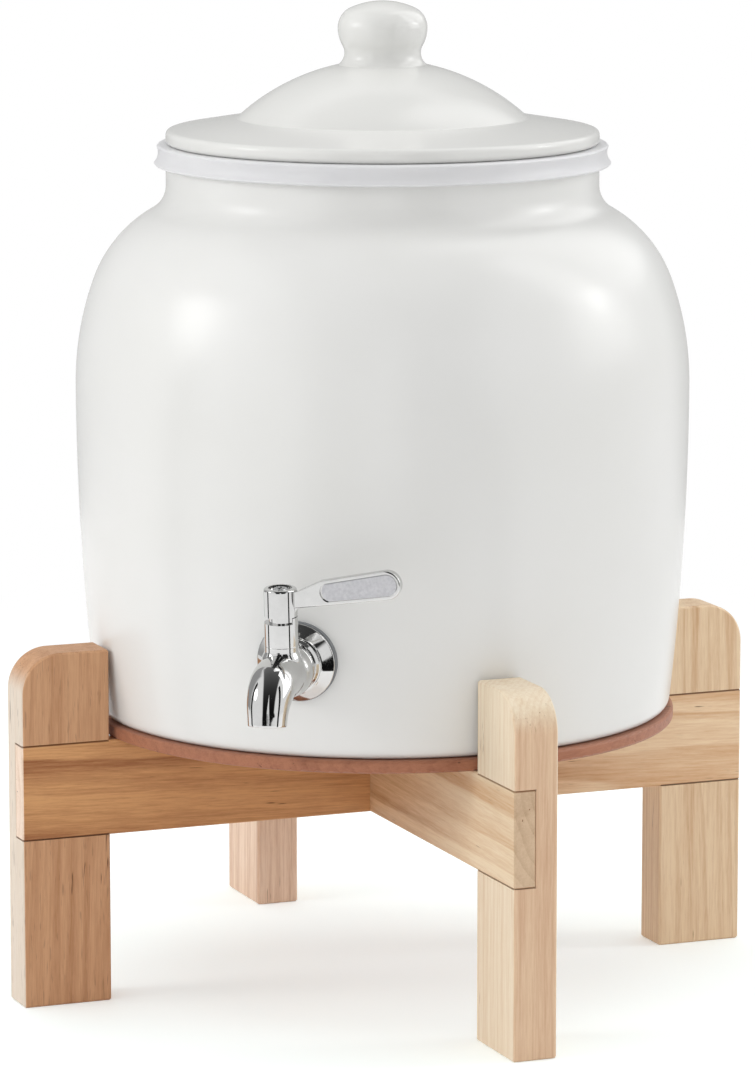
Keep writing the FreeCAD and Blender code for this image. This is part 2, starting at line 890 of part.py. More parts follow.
ball_radius = size("tap_ball_radius")
ball_reach = size("tap_ball_reach")
bonnet_bottom = ball_radius + size("valve_boss_rise")
plug_radius = size("valve_plug_radius")
plug_bottom = -size("valve_plug_bottom")
plug_top = size("valve_plug_top")
running = size("valve_running_clearance")
shank_length = size("tap_shank_length")
waterway_radius = size("tap_waterway_radius")
shank = outwards(cylinder(shank_radius, shank_length + barrel_start, "tap_shank"), -shank_length)
barrel = outwards(
    cylinder(barrel_radius, bend_start - barrel_start, "tap_barrel"), barrel_start
)
ball = bind(
    doc.addObject("Part::Sphere", "tap_ball"),
    Radius=ball_radius,
    Angle1=-arcsine((ball_reach - barrel_start) / ball_radius),
)
outwards(ball, ball_reach)
boss = valve_column(size("bonnet_radius"), NO_INSET, bonnet_bottom, "valve_boss")
spout = spout_loft("spout", barrel_radius, size("spout_outlet_radius"))
tap_outside = fused("tap_outside", shank, barrel, ball, boss, spout)

waterway = outwards(
    cylinder(waterway_radius, shank_length + bend_start, "waterway"), -shank_length
)
plug_bore = valve_column(
    plug_radius + running, plug_bottom - running, plug_top + running * 2, "plug_bore"
)
spigot_bore = valve_column(
    size("bonnet_spigot_radius"), plug_top + running, bonnet_bottom + 1, "spigot_bore"
)
spout_bore = spout_loft("spout_bore", waterway_radius, size("spout_bore_radius"), past=1)
tap_inside = fused("tap_inside", waterway, plug_bore, spigot_bore, spout_bore)
keep("tap_body", seated(cut("tap_body", tap_outside, tap_inside)))

# ----------------------------------------------------------------------------
# Valve: quarter-turn plug held down by a bonnet with a stop slot in its top
# ----------------------------------------------------------------------------

bonnet_top = bonnet_bottom + size("bonnet_height")
stem_radius = size("valve_stem_radius")
cap_radius = size("lever_cap_radius")
cap_bottom = bonnet_top + size("lever_gap")
tab_angle = size("stop_tab_angle")
tab_inside = cap_radius - size("stop_tab_thickness")
lever_swing = size("lever_swing")
stop_play = size("stop_end_clearance")
tab_start = as_size(360 - 89)


def ring_sector(name, inner, outer, bottom, top, start, sweep):
    """Part of a ring round the valve's axis; angles count from +X towards +Y."""
    sector = bind(cylinder(outer, top - bottom, f"{name}_sector"), Angle=sweep)
    place(sector, y=-valve_out, z=bottom, angle=start)
    core = valve_column(inner, bottom - 1, top + 1, f"{name}_core")
    return cut(name, sector, core)


bonnet_blank = turned(
    "bonnet_blank",
    [
        corner(stem_radius + running, plug_top + running),
        corner(size("bonnet_spigot_radius"), plug_top + running),
        corner(size("bonnet_spigot_radius"), bonnet_bottom),
        corner(size("bonnet_radius"), bonnet_bottom),
        corner(size("bonnet_radius"), bonnet_top),
        corner(stem_radius + running, bonnet_top),
    ],
)
place(bonnet_blank, y=-valve_out)
stop_slot = ring_sector(
    "stop_slot",
    tab_inside - running * 4,
    size("bonnet_radius") + 1,
    bonnet_top - size("stop_slot_depth"),
    bonnet_top + 1,
    tab_start - lever_swing - stop_play,
    tab_angle + lever_swing + stop_play * 2,
)
keep("valve_bonnet", seated(cut("valve_bonnet", bonnet_blank, stop_slot)))

cap_height = size("lever_cap_height")
recess_floor = cap_height - size("lever_cap_recess_depth")
seal = size("stem_seal_thickness")
drive = size("lever_drive_width")
drive_height = size("lever_drive_height")


def drive_square(name):
    """The square end of the stem, which turns with the lever's cap."""
    square = box(drive, drive, drive_height, name)
    return place(square, x=-drive / 2, y=-(valve_out + drive / 2), z=cap_bottom)


def screw_column(name):
    """The threaded length of the lever's screw."""
    under_head = cap_bottom + recess_floor
    return valve_column(
        size("lever_screw_radius"), under_head - size("lever_screw_length"), under_head, name
    )


plug_column = valve_column(plug_radius, plug_bottom, plug_top, "plug_column")
stem_column = valve_column(stem_radius, plug_bottom, cap_bottom, "stem_column")
plug_solid = fused("plug_solid", plug_column, stem_column, drive_square("stem_drive"))
port = place(
    cylinder(size("valve_port_radius"), plug_radius * 4, "valve_port"),
    x=-plug_radius * 2,
    y=-valve_out,
    axis=Vector(0, 1, 0),
    angle=90,
)
seal_heights = [
    size("stem_seal_height") + size("stem_seal_spacing") * number for number in range(2)
]
grooves = [
    cut(
        "seal_groove",
        valve_column(stem_radius + 1, height - seal / 2, height + seal / 2, "groove"),
        valve_column(stem_radius - seal, height - seal, height + seal, "groove_floor"),
    )
    for height in seal_heights
]
plug_cuts = fused("plug_cuts", port, screw_column("screw_hole"), *grooves)
keep("valve_plug", seated(cut("valve_plug", plug_solid, plug_cuts)))

seal_rings = [
    place(
        bind(
            doc.addObject("Part::Torus", "stem_seal"),
            Radius1=stem_radius - seal / 2,
            Radius2=seal / 2,
        ),
        y=-valve_out,
        z=height,
    )
    for height in seal_heights
]
keep("stem_seals", seated(grouped("stem_seals", *seal_rings)))

# ----------------------------------------------------------------------------
# Lever: cap with a stop tab, flat paddle handle with an inlay, and its screw
# ----------------------------------------------------------------------------

cap_rounding = size("lever_cap_rounding")
cap = turned(
    "lever_cap",
    [
        corner(0, 0),
        corner(cap_radius, 0),
        corner(cap_radius, cap_height - cap_rounding, cap_rounding, 1),
        corner(cap_radius - cap_rounding, cap_height),
        corner(size("lever_cap_recess_radius"), cap_height),
        corner(size("lever_cap_recess_radius"), recess_floor),
        corner(0, recess_floor),
    ],
)
place(cap, y=-valve_out, z=cap_bottom)

tip = size("lever_tip_radius")
tip_reach = size("lever_length") - tip
tip_rise = size("lever_tip_rise")
lower_slope = size("lever_lower_angle")
upper_slope = size("lever_upper_angle")


def lower_edge(reach, inset):
    """Height of the handle's lower edge at a distance from the stem, drawn in by inset."""
    fall = (tip_reach - reach) * sine(lower_slope) / cosine(lower_slope)
    return tip_rise - (tip - inset) / cosine(lower_slope) - fall


def upper_edge(reach, inset):
    """Height of the handle's upper edge at a distance from the stem, drawn in by inset."""
    fall = (tip_reach - reach) * sine(upper_slope) / cosine(upper_slope)
    return tip_rise + (tip - inset) / cosine(upper_slope) - fall


def handle_tip(inset):
    """The rounded tip of the handle's broad face, drawn in by an inset."""
    reach = tip - inset
    return [
        corner(
            tip_reach + reach * sine(lower_slope), tip_rise - reach * cosine(lower_slope), reach
        ),
        corner(tip_reach + reach, tip_rise, reach),
        corner(
            tip_reach - reach * sine(upper_slope), tip_rise + reach * cosine(upper_slope)
        ),
    ]


def inlay_outline(groove):
    """The inlay's outline, a groove's width inside its pocket: it follows the handle's edges
    at an even margin and ends in an arc near the neck."""
    inset = size("lever_inlay_margin") + groove
    upper_start = size("lever_inlay_upper_start") + groove
    lower_start = size("lever_inlay_lower_start") + groove
    return [
        corner(lower_start, lower_edge(lower_start, inset)),
        *handle_tip(inset),
        corner(upper_start, upper_edge(upper_start, inset), size("lever_inlay_end_radius")),
    ]


web = size("lever_web_radius")
upper_start = size("lever_upper_start")
handle = padded(
    "lever_handle",
    "XZ_Plane",
    [
        corner(cap_radius / 2, lower_edge(cap_radius / 2, NO_INSET)),
        corner(cap_radius + web / 2, lower_edge(cap_radius + web / 2, NO_INSET)),
        *handle_tip(NO_INSET),
        corner(upper_start, upper_edge(upper_start, NO_INSET)),
        corner(cap_radius, size("lever_neck_top")),
        corner(cap_radius / 2, size("lever_neck_top") - 1),
    ],
    size("lever_thickness"),
)
dressed(
    handle,
    "Fillet",
    size("lever_edge_radius"),
    lambda edge: edge.BoundBox.YLength < 1e-3 and edge.BoundBox.XMax > cap_radius.value + 2,
)
inlay_floor = size("lever_thickness") / 2 - size("lever_inlay_recess")
pocketed(
    handle,
    "XZ_Plane",
    inlay_outline(NO_INSET),
    size("lever_inlay_recess") + 1,
    towards_plus=False,
    start=inlay_floor,
)
place(handle, y=-valve_out, z=cap_bottom)
web_plate = padded(
    "lever_web",
    "XZ_Plane",
    [
        corner(cap_radius / 2, 0.6),
        corner(cap_radius - 0.1, 0.6, web, -1),
        corner(cap_radius + web / 2, lower_edge(cap_radius + web / 2, NO_INSET) + 0.2),
        corner(cap_radius / 2, size("lever_neck_top") - 1),
    ],
    size("lever_thickness") - 0.4,
)
place(web_plate, y=-valve_out, z=cap_bottom)
stop_tab = ring_sector(
    "stop_tab",
    tab_inside,
    cap_radius,
    cap_bottom - size("stop_tab_height"),
    cap_bottom + 1,
    tab_start,
    tab_angle,
)
lever_solid = fused("lever_solid", cap, handle, web_plate, stop_tab)
lever_holes = fused("lever_holes", drive_square("drive_hole"), screw_column("lever_screw_hole"))
keep("tap_lever", seated(cut("tap_lever", lever_solid, lever_holes)))

inlay_plate = inlay_outline(size("lever_inlay_groove"))
inlay = padded("lever_inlay", "XZ_Plane", inlay_plate, size("lever_inlay_thickness"))
inlay_aside = inlay_floor + size("lever_inlay_thickness") / 2
place(inlay, y=-(valve_out + inlay_aside), z=cap_bottom)
keep("lever_inlay", seated(grouped("lever_inlay_placed", inlay)))

head_radius = size("lever_screw_head_radius")
head_height = size("lever_screw_head_height")
HEAD_EDGE = 0.4
screw_head = turned(
    "lever_screw_head",
    [
        corner(0, 0),
        corner(head_radius, 0),
        corner(head_radius, head_height - HEAD_EDGE),
        corner(head_radius - HEAD_EDGE, head_height),
        corner(0, head_height),
    ],
)
place(screw_head, y=-valve_out, z=cap_bottom + recess_floor)
slot_width = size("lever_screw_slot_width")
slot_length = head_radius * 1.3
slot_bottom = cap_bottom + recess_floor + head_height - size("lever_screw_slot_depth")
slots = [
    place(
        box(across, along_y, head_height, "screw_slot"),
        x=-across / 2,
        y=-(valve_out + along_y / 2),
        z=slot_bottom,
    )
    for across, along_y in ((slot_width, slot_length), (slot_length, slot_width))
]
screw_solid = fused("lever_screw_solid", screw_head, screw_column("lever_screw_thread"))
keep("lever_screw", seated(cut("lever_screw", screw_solid, fused("screw_slots", *slots))))

# ----------------------------------------------------------------------------
# Check and export
# ----------------------------------------------------------------------------

doc.recompute()
for thing in doc.Objects:
    faults = {"Invalid", "Error"}.intersection(thing.State)
    if faults:
        raise RuntimeError(f"{thing.Label} does not build: {sorted(faults)}")

os.makedirs("parts", exist_ok=True)
for name, thing in sub_parts.items():
    if thing.Shape.isNull() or not thing.Shape.isValid():
        raise RuntimeError(f"{name} is not a valid solid")
    thing.Shape.exportStep(f"parts/{name}.step")
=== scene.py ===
"""Looks of a white glazed water crock with a lever tap on a slotted wooden stand.

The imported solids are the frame. The wooden pieces, the screws, the lever with its valve,
and the seals and fixings of the tap keep their solids and get a finish. The turned pieces
(crock, rim ring, lid and flange) and the swept tap body with its shank are drawn again as
smooth surfaces of the same sizes. Lengths are in metres unless a name ends in mm.
"""

import json
import logging
import math
from collections.abc import Sequence
from dataclasses import dataclass
from enum import Enum
from typing import ClassVar

import bpy
import numpy as np
from mathutils import Matrix, Vector

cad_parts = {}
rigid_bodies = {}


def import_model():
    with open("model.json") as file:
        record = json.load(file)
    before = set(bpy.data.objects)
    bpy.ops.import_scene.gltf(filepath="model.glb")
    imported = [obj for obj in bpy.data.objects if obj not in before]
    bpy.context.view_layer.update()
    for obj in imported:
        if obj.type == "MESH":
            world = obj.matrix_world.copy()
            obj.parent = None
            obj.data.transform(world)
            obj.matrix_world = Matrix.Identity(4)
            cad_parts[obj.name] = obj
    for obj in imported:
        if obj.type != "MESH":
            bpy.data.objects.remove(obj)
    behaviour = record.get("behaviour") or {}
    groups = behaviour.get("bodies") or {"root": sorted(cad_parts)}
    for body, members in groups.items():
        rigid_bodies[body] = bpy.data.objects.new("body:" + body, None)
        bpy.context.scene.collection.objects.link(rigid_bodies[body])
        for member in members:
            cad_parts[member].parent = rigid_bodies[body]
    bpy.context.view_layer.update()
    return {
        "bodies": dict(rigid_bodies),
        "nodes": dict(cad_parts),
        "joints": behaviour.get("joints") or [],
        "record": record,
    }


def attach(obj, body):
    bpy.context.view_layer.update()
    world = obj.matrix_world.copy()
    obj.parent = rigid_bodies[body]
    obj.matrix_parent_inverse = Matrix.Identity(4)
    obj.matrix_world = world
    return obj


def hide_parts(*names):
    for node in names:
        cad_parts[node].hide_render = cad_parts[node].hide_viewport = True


LOG = logging.getLogger("water_crock")
MM = 0.001
ON_AXIS = 1e-9  # a point closer to the axis than this lies on it

Colour = tuple[float, float, float, float]
Material = bpy.types.Material
Socket = bpy.types.NodeSocket


class Grain(Enum):
    """Which way the fibres of a wooden piece run, in the piece's own frame."""

    UPRIGHT = "along Z"
    LENGTHWISE = "along the beam"
    ACROSS = "along X, lying flat"


# ----------------------------------------------------------------------------
# Colours, nodes and patterns
# ----------------------------------------------------------------------------

WHITE: Colour = (1.0, 1.0, 1.0, 1.0)
USUAL = (0.3, 0.7)  # nearly all values of a noise pattern lie between these


def linear(hex_colour: str) -> Colour:
    """Turns an sRGB hex colour into the linear colour that a shader socket takes.

    The numbers are those of the sRGB standard's own curve.

    Args:
        hex_colour: Six hex digits, with or without a leading #.

    Returns:
        Red, green, blue and an alpha of 1.
    """
    digits = hex_colour.lstrip("#")
    channels = [int(digits[i : i + 2], 16) / 255 for i in (0, 2, 4)]
    steps = [c / 12.92 if c <= 0.04045 else ((c + 0.055) / 1.055) ** 2.4 for c in channels]
    return (steps[0], steps[1], steps[2], 1.0)


class Recipe:
    """The nodes of one material or world, added one by one to an empty tree."""

    def __init__(self, owner: Material | bpy.types.World) -> None:
        """Empties the owner's node tree.

        Args:
            owner: The material or world that the nodes are for.
        """
        owner.use_nodes = True
        self.tree = owner.node_tree
        self.tree.nodes.clear()

    def add(
        self,
        kind: str,
        inputs: dict[str, object] | Sequence[object] = (),
        output: str | None = None,
        **settings: object,
    ) -> Socket | None:
        """Adds one node with its settings, values and links.

        Args:
            kind: Blender's class name of the node, less the ShaderNode in front.
            inputs: Values, or output sockets to link from. They go by the inputs' names, or
                one after the other into the inputs in use.
            output: Name of the output that is wanted, if it isn't the first one in use.
            settings: Attributes of the node itself.

        Returns:
            The wanted output, or None if the node has none.
        """
        node = self.tree.nodes.new(f"ShaderNode{kind}")
        for name, setting in settings.items():
            setattr(node, name, setting)
        in_use = [socket for socket in node.inputs if socket.enabled]
        named = isinstance(inputs, dict)
        for key, value in inputs.items() if named else enumerate(inputs):
            socket = node.inputs[key] if named else in_use[key]
            if isinstance(value, Socket):
                self.tree.links.new(value, socket)
            else:
                socket.default_value = value
        if output:
            return node.outputs[output]
        return next((socket for socket in node.outputs if socket.enabled), None)

    def mottled(self, pattern: Socket, low: str, high: str) -> Socket:
        """Colours the usual range of a pattern's values.

        Args:
            pattern: The pattern's values.
            low: The sRGB hex colour at the lower end.
            high: The sRGB hex colour at the upper end.

        Returns:
            The colour.
        """
        shade = self.add("MapRange", (pattern, *USUAL))
        return self.add("Mix", (shade, linear(low), linear(high)), data_type="RGBA")

    def distance(self, first: Socket, second: Socket) -> Socket:
        """Adds the square root of first² + second².

        Args:
            first: One side of the right angle.
            second: The other side.

        Returns:
            The length of the slanted side.
        """
        squares = [self.add("Math", (side,) * 2, operation="MULTIPLY") for side in (first, second)]
        return self.add("Math", (self.add("Math", squares, operation="ADD"),), operation="SQRT")

    def cover(self, inputs: dict[str, object]) -> None:
        """Makes a Principled surface with these inputs what the material shows."""
        self.add("OutputMaterial", (self.add("BsdfPrincipled", inputs),))


@dataclass(frozen=True)
class Pattern:
    """A noise pattern: how large its lumps are, how rich it is and how far it is drawn out."""

    size_mm: float
    detail: float = 2.0
    roughness: float = 0.5
    squeeze: float = 1.0  # of the Z coordinate: 0.1 draws the pattern out ten times along Z

    def build(self, recipe: Recipe, where: Socket) -> Socket:
        """Adds the pattern.

        Args:
            recipe: The recipe that it is for.
            where: Coordinates in metres.

        Returns:
            The pattern's values.
        """
        if self.squeeze != 1.0:
            squeezed = {"Vector": where, "Scale": (1.0, 1.0, self.squeeze)}
            where = recipe.add("Mapping", squeezed)
        return recipe.add("TexNoise", (where, 1 / (self.size_mm * MM), self.detail, self.roughness))


# ----------------------------------------------------------------------------
# Finishes
# ----------------------------------------------------------------------------


@dataclass(frozen=True)
class SatinGlaze:
    """White satin glaze fired on stoneware: even and pale, with broad soft highlights, a
    faint warmth where it lies thin, and a shallow wave left by dipping."""

    name: str = "satin_white_stoneware_glaze"
    body: str = "#E8E8E6"
    thin: str = "#E4E4E1"
    roughness: float = 0.26
    unevenness: float = 0.01  # how far the roughness goes up and down
    ior: float = 1.52
    cloud: Pattern = Pattern(90.0)
    wave: Pattern = Pattern(38.0, detail=1.0)
    wave_depth_mm: float = 0.10
    wave_strength: float = 0.5
    grit: Pattern = Pattern(1.4)  # drawn coarser than the real 0.3 mm so that it shows
    grit_depth_mm: float = 0.0015

    def build(self) -> Material:
        """Makes the glaze.

        Returns:
            The material.
        """
        material = bpy.data.materials.new(self.name)
        recipe = Recipe(material)
        where = recipe.add("TexCoord", output="Object")
        grit = self.grit.build(recipe, where)
        range_of_roughness = (self.roughness - self.unevenness, self.roughness + self.unevenness)
        wave = {
            "Height": self.wave.build(recipe, where),
            "Distance": self.wave_depth_mm * MM,
            "Strength": self.wave_strength,
        }
        fine = {
            "Height": grit,
            "Distance": self.grit_depth_mm * MM,
            "Normal": recipe.add("Bump", wave),
        }
        surface = {
            "Base Color": recipe.mottled(self.cloud.build(recipe, where), self.thin, self.body),
            "Roughness": recipe.add("MapRange", (grit, *USUAL, *range_of_roughness)),
            "Normal": recipe.add("Bump", fine),
            "IOR": self.ior,
        }
        recipe.cover(surface)
        return material


@dataclass(frozen=True)
class Silicone:
    """Moulded silicone rubber: soft edges, a dull sheen and light passing a little way in."""

    name: str
    tone: str
    shaded: str
    roughness: float
    glow: float
    unevenness: float = 0.05  # how far the roughness goes up and down
    ior: float = 1.41
    light_reach_mm: float = 2.0
    cloud: Pattern = Pattern(45.0)
    dust: Pattern = Pattern(0.9)
    dust_depth_mm: float = 0.01

    def build(self) -> Material:
        """Makes the silicone.

        Returns:
            The material.
        """
        material = bpy.data.materials.new(self.name)
        recipe = Recipe(material)
        where = recipe.add("TexCoord", output="Object")
        dust = self.dust.build(recipe, where)
        range_of_roughness = (self.roughness - self.unevenness, self.roughness + self.unevenness)
        bumps = {"Height": dust, "Distance": self.dust_depth_mm * MM}
        surface = {
            "Base Color": recipe.mottled(self.cloud.build(recipe, where), self.shaded, self.tone),
            "Roughness": recipe.add("MapRange", (dust, *USUAL, *range_of_roughness)),
            "Normal": recipe.add("Bump", bumps),
            "IOR": self.ior,
            "Subsurface Weight": self.glow,
            "Subsurface Radius": (1.0, 1.0, 1.0),  # the same reach for every colour
            "Subsurface Scale": self.light_reach_mm * MM,
        }
        recipe.cover(surface)
        return material


@dataclass(frozen=True)
class Metal:
    """A metal surface: its tone, how matt it is, and how large and deep its fine marks are."""

    name: str
    tone: str
    worn: str
    roughness: float
    mark_mm: float
    mark_depth_mm: float
    smoothest: float = 0.8  # share of the roughness
    roughest: float = 1.3

    def build(self) -> Material:
        """Makes the metal.

        Returns:
            The material.
        """
        material = bpy.data.materials.new(self.name)
        recipe = Recipe(material)
        where = recipe.add("TexCoord", output="Object")
        marks = Pattern(self.mark_mm, detail=4.0, roughness=0.6).build(recipe, where)
        ends = (self.roughness * self.smoothest, self.roughness * self.roughest)
        bumps = {"Height": marks, "Distance": self.mark_depth_mm * MM}
        surface = {
            "Base Color": recipe.mottled(marks, self.worn, self.tone),
            "Metallic": 1.0,
            "Roughness": recipe.add("MapRange", (marks, *USUAL, *ends)),
            "Normal": recipe.add("Bump", bumps),
        }
        recipe.cover(surface)
        return material


@dataclass(frozen=True)
class MouldedPlastic:
    """Moulded plastic with a fine even grain that kills reflections."""

    name: str
    tone: str
    shaded: str
    grain_mm: float = 0.6  # drawn coarser than the real 0.1 mm so that it shows
    grain_depth_mm: float = 0.02
    roughness: float = 0.56
    unevenness: float = 0.06  # how far the roughness goes up and down
    ior: float = 1.49

    def build(self) -> Material:
        """Makes the plastic.

        Returns:
            The material.
        """
        material = bpy.data.materials.new(self.name)
        recipe = Recipe(material)
        where = recipe.add("TexCoord", output="Object")
        grain = Pattern(self.grain_mm).build(recipe, where)
        range_of_roughness = (self.roughness - self.unevenness, self.roughness + self.unevenness)
        bumps = {"Height": grain, "Distance": self.grain_depth_mm * MM}
        surface = {
            "Base Color": recipe.mottled(grain, self.shaded, self.tone),
            "Roughness": recipe.add("MapRange", (grain, *USUAL, *range_of_roughness)),
            "Normal": recipe.add("Bump", bumps),
            "IOR": self.ior,
        }
        recipe.cover(surface)
        return material


@dataclass(frozen=True)
class Tones:
    """The colours of one board: its faces, its outer ends and the checks in it."""

    early: str
    late: str
    end: str
    end_late: str
    check: str


@dataclass(frozen=True)
class SapwoodAndShade:
    """Paler wood towards one end of a board: where it starts, where it is full, its tones. It is
    partly sapwood and partly painted shade: the lower beam stays darker towards its middle,
    under the disc and the crock.
    """

    start_mm: float
    full_mm: float
    early: str
    late: str


@dataclass(frozen=True)
class Timber:
    """One piece of sanded solid timber under a thin clear oil: how it was cut, and its
    rings as lines or arches depending on the face, long broad streaks, fine fibres, and a
    few short dark checks.

    A board is a slice of a log. The distance from the log's heart, bent a little by slow
    noise, counts the rings; that gives lines on the sides and arcs on the ends by itself.
    Along the board the heartwood may give way to paler wood, partly sapwood and partly
    painted shade left dark in the middle of the lower beam. The outer end of a leg is round:
    its radius is TIP_RADIUS_MM and it starts at the height TIP_START_MM. A beam lies in the
    notch of a leg from NOTCH_START_MM outwards, and its bevels get painted shade there, for
    the shade in the joint's narrow gap.
    """

    REACH_MM: ClassVar[float] = 172.0  # from the middle of the stand to its outer ends
    END_DEPTH_MM: ClassVar[float] = 0.5  # of the layer that has the end's tone
    TIP_RADIUS_MM: ClassVar[float] = 17.5
    TIP_START_MM: ClassVar[float] = 139.0
    TIP_FADE: ClassVar[float] = 0.7  # share of the tip's radius by which the end's tone is gone
    BEAM_MIDDLE_MM: ClassVar[float] = 95.5
    BEAM_HEIGHT_MM: ClassVar[float] = 42.0
    NOTCH_START_MM: ClassVar[float] = 132.4
    # The painted shade of a joint's gap: where it starts and is full below a beam's edge, and how
    # dark it is.
    SEAM_SHADE_MM: ClassVar[tuple[float, float]] = (0.8, 0.5)  # below the edge: where it starts, is full
    SEAM_SHADE_DARKNESS: ClassVar[float] = 0.75

    BENDS: ClassVar[Pattern] = Pattern(42.0, detail=1.0, squeeze=0.10)
    BEND_DEPTH_MM: ClassVar[float] = 3.0
    WIGGLES: ClassVar[Pattern] = Pattern(10.0, squeeze=0.10)
    WIGGLE_DEPTH_MM: ClassVar[float] = 0.35
    LATE_START: ClassVar[float] = 0.30  # shares of a ring's width
    LATE_PEAK: ClassVar[float] = 0.93
    CONTRAST: ClassVar[Pattern] = Pattern(26.0, detail=1.0, squeeze=0.10)
    FAINTEST_RING: ClassVar[float] = 0.3  # share of the rings' contrast
    STREAK_SQUEEZE: ClassVar[float] = 0.03
    STREAK_TONES: ClassVar[tuple[float, float]] = (-0.10, 0.36)
    VEIN_SIZE: ClassVar[float] = 1.6  # times the size of the streaks
    VEIN_EDGE: ClassVar[tuple[float, float]] = (0.56, 0.64)
    VEIN_DARKNESS: ClassVar[float] = 0.6  # share of the rings' contrast
    FIBRES: ClassVar[Pattern] = Pattern(0.9, detail=4.0, roughness=0.75, squeeze=0.05)
    FIBRE_TONES: ClassVar[tuple[float, float]] = (-0.24, 0.24)

    FLECKS: ClassVar[Pattern] = Pattern(1.6, roughness=0.7, squeeze=0.07)
    FLECK_EDGE: ClassVar[tuple[float, float]] = (0.66, 0.72)
    FLECK_DARKNESS: ClassVar[float] = 0.9
    PATCHES: ClassVar[Pattern] = Pattern(16.0, detail=0.0, squeeze=0.30)
    PATCH_EDGE: ClassVar[tuple[float, float]] = (0.6, 0.7)  # less the board's checked value
    PORES: ClassVar[Pattern] = Pattern(0.8, detail=1.0, squeeze=0.09)
    PORE_EDGE: ClassVar[tuple[float, float]] = (0.64, 0.74)
    PORE_START: ClassVar[float] = 0.05  # the checked value above which pores show
    PORE_GAIN: ClassVar[float] = 2.6  # darkness of the pores for each unit above that

    ROUGHNESS: ClassVar[tuple[float, float]] = (0.48, 0.60)
    GROOVE_DEPTH_MM: ClassVar[float] = 0.05
    GROOVE_STRENGTH: ClassVar[float] = 0.5
    IOR: ClassVar[float] = 1.47
    SPECULAR: ClassVar[float] = 0.4
    SHEEN: ClassVar[float] = 0.08

    node: str
    turn_degrees: float
    grain: Grain
    heart_mm: tuple[float, float]
    ring_mm: float
    ring_contrast: float
    streak_mm: float
    slant_degrees: float
    tones: Tones
    checked: float = 0.08
    sapwood_and_shade: SapwoodAndShade | None = None

    def turn(self) -> tuple[float, float, float]:
        """Works out how the board is turned for its pattern.

        Returns:
            Euler angles that lay the fibres along Z and the thickness along Y.
        """
        upright = Matrix.Rotation(math.radians(-self.turn_degrees), 3, "Z")
        tip = Matrix.Rotation(math.radians(-90), 3, "Y")
        laid = upright if self.grain is Grain.UPRIGHT else tip @ upright
        return tuple(laid.to_euler("XYZ"))

    def rings(self, recipe: Recipe, log: Socket) -> Socket:
        """Adds the yearly rings: a slow rise to the late wood and a quick fall after it.

        The place in a ring is the fraction of (sqrt(x² + y²) + bend + wiggle) / ring width.

        Args:
            recipe: The timber's recipe.
            log: Coordinates with the log's heart at the origin and fibres along Z.

        Returns:
            A value from 0 in early wood to 1 in the darkest late wood.
        """
        axes = recipe.add("SeparateXYZ", (log,)).node.outputs
        distance = recipe.distance(axes["X"], axes["Y"])
        waves = ((self.BENDS, self.BEND_DEPTH_MM * MM), (self.WIGGLES, self.WIGGLE_DEPTH_MM * MM))
        for pattern, depth in waves:
            wave = recipe.add("MapRange", (pattern.build(recipe, log), *USUAL, -depth, depth))
            distance = recipe.add("Math", (distance, wave), operation="ADD")
        count = recipe.add("Math", (distance, self.ring_mm * MM), operation="DIVIDE")
        phase = recipe.add("Math", (count,), operation="FRACT")
        sides = [
            recipe.add("MapRange", (phase, start, self.LATE_PEAK), interpolation_type="SMOOTHSTEP")
            for start in (self.LATE_START, 1.0)
        ]
        return recipe.add("Math", sides, operation="MULTIPLY")

    def at_end(self, recipe: Recipe, laid: Socket) -> Socket:
        """Marks the outer end faces, where the tone is another one: partly the wood's own, and
        partly painted light and shade, paler where the left lamp lights an end and darker where
        it faces away.

        A leg's end face runs on round its tip, where x and z are the distances past the
        start of the rounding and sqrt(x² + z²) is its radius. The tone fades out up there.

        Args:
            recipe: The timber's recipe.
            laid: Coordinates with the fibres along Z and the thickness along Y.

        Returns:
            A value that is 1 on an end face and 0 elsewhere.
        """
        axes = recipe.add("SeparateXYZ", (laid,)).node.outputs
        edge = (self.REACH_MM - self.END_DEPTH_MM) * MM
        if self.grain is not Grain.UPRIGHT:
            along = recipe.add("Math", (axes["Z"],), operation="ABSOLUTE")
            return recipe.add("Math", (along, edge), operation="GREATER_THAN")
        inside = (self.REACH_MM - self.TIP_RADIUS_MM) * MM
        out = recipe.add("Math", (axes["X"],), operation="ABSOLUTE")
        across = recipe.add("Math", (out, inside), operation="SUBTRACT")
        up = recipe.add("Math", (axes["Z"], self.TIP_START_MM * MM), operation="SUBTRACT")
        past = [recipe.add("Math", (side, 0.0), operation="MAXIMUM") for side in (across, up)]
        shell = (recipe.distance(*past), edge - inside)
        shell = recipe.add("Math", shell, operation="GREATER_THAN")
        fade = (up, self.TIP_FADE * self.TIP_RADIUS_MM * MM, 0.0)
        below = recipe.add("MapRange", fade, interpolation_type="SMOOTHSTEP")
        return recipe.add("Math", (shell, below), operation="MULTIPLY")

    def faces(self, recipe: Recipe, laid: Socket, tone: Socket) -> Socket:
        """Colours the faces, from heartwood over into paler wood where the board has some:
        partly sapwood, and partly painted shade that keeps the lower beam dark in its middle.

        Args:
            recipe: The timber's recipe.
            laid: Coordinates with the fibres along Z.
            tone: How dark the wood is, from 0 to 1.

        Returns:
            The colour.
        """
        heart = (tone, linear(self.tones.early), linear(self.tones.late))
        heartwood = recipe.add("Mix", heart, data_type="RGBA")
        if self.sapwood_and_shade is None:
            return heartwood
        sap = (tone, linear(self.sapwood_and_shade.early), linear(self.sapwood_and_shade.late))
        pale = recipe.add("Mix", sap, data_type="RGBA")
        # The tone goes over into the paler one along the board: partly sapwood, partly painted
        # shade in a beam's middle.
        along = recipe.add("SeparateXYZ", (laid,), output="Z")
        ends = (along, self.sapwood_and_shade.start_mm * MM, self.sapwood_and_shade.full_mm * MM)
        share = recipe.add("MapRange", ends, interpolation_type="SMOOTHSTEP")
        return recipe.add("Mix", (share, heartwood, pale), data_type="RGBA")

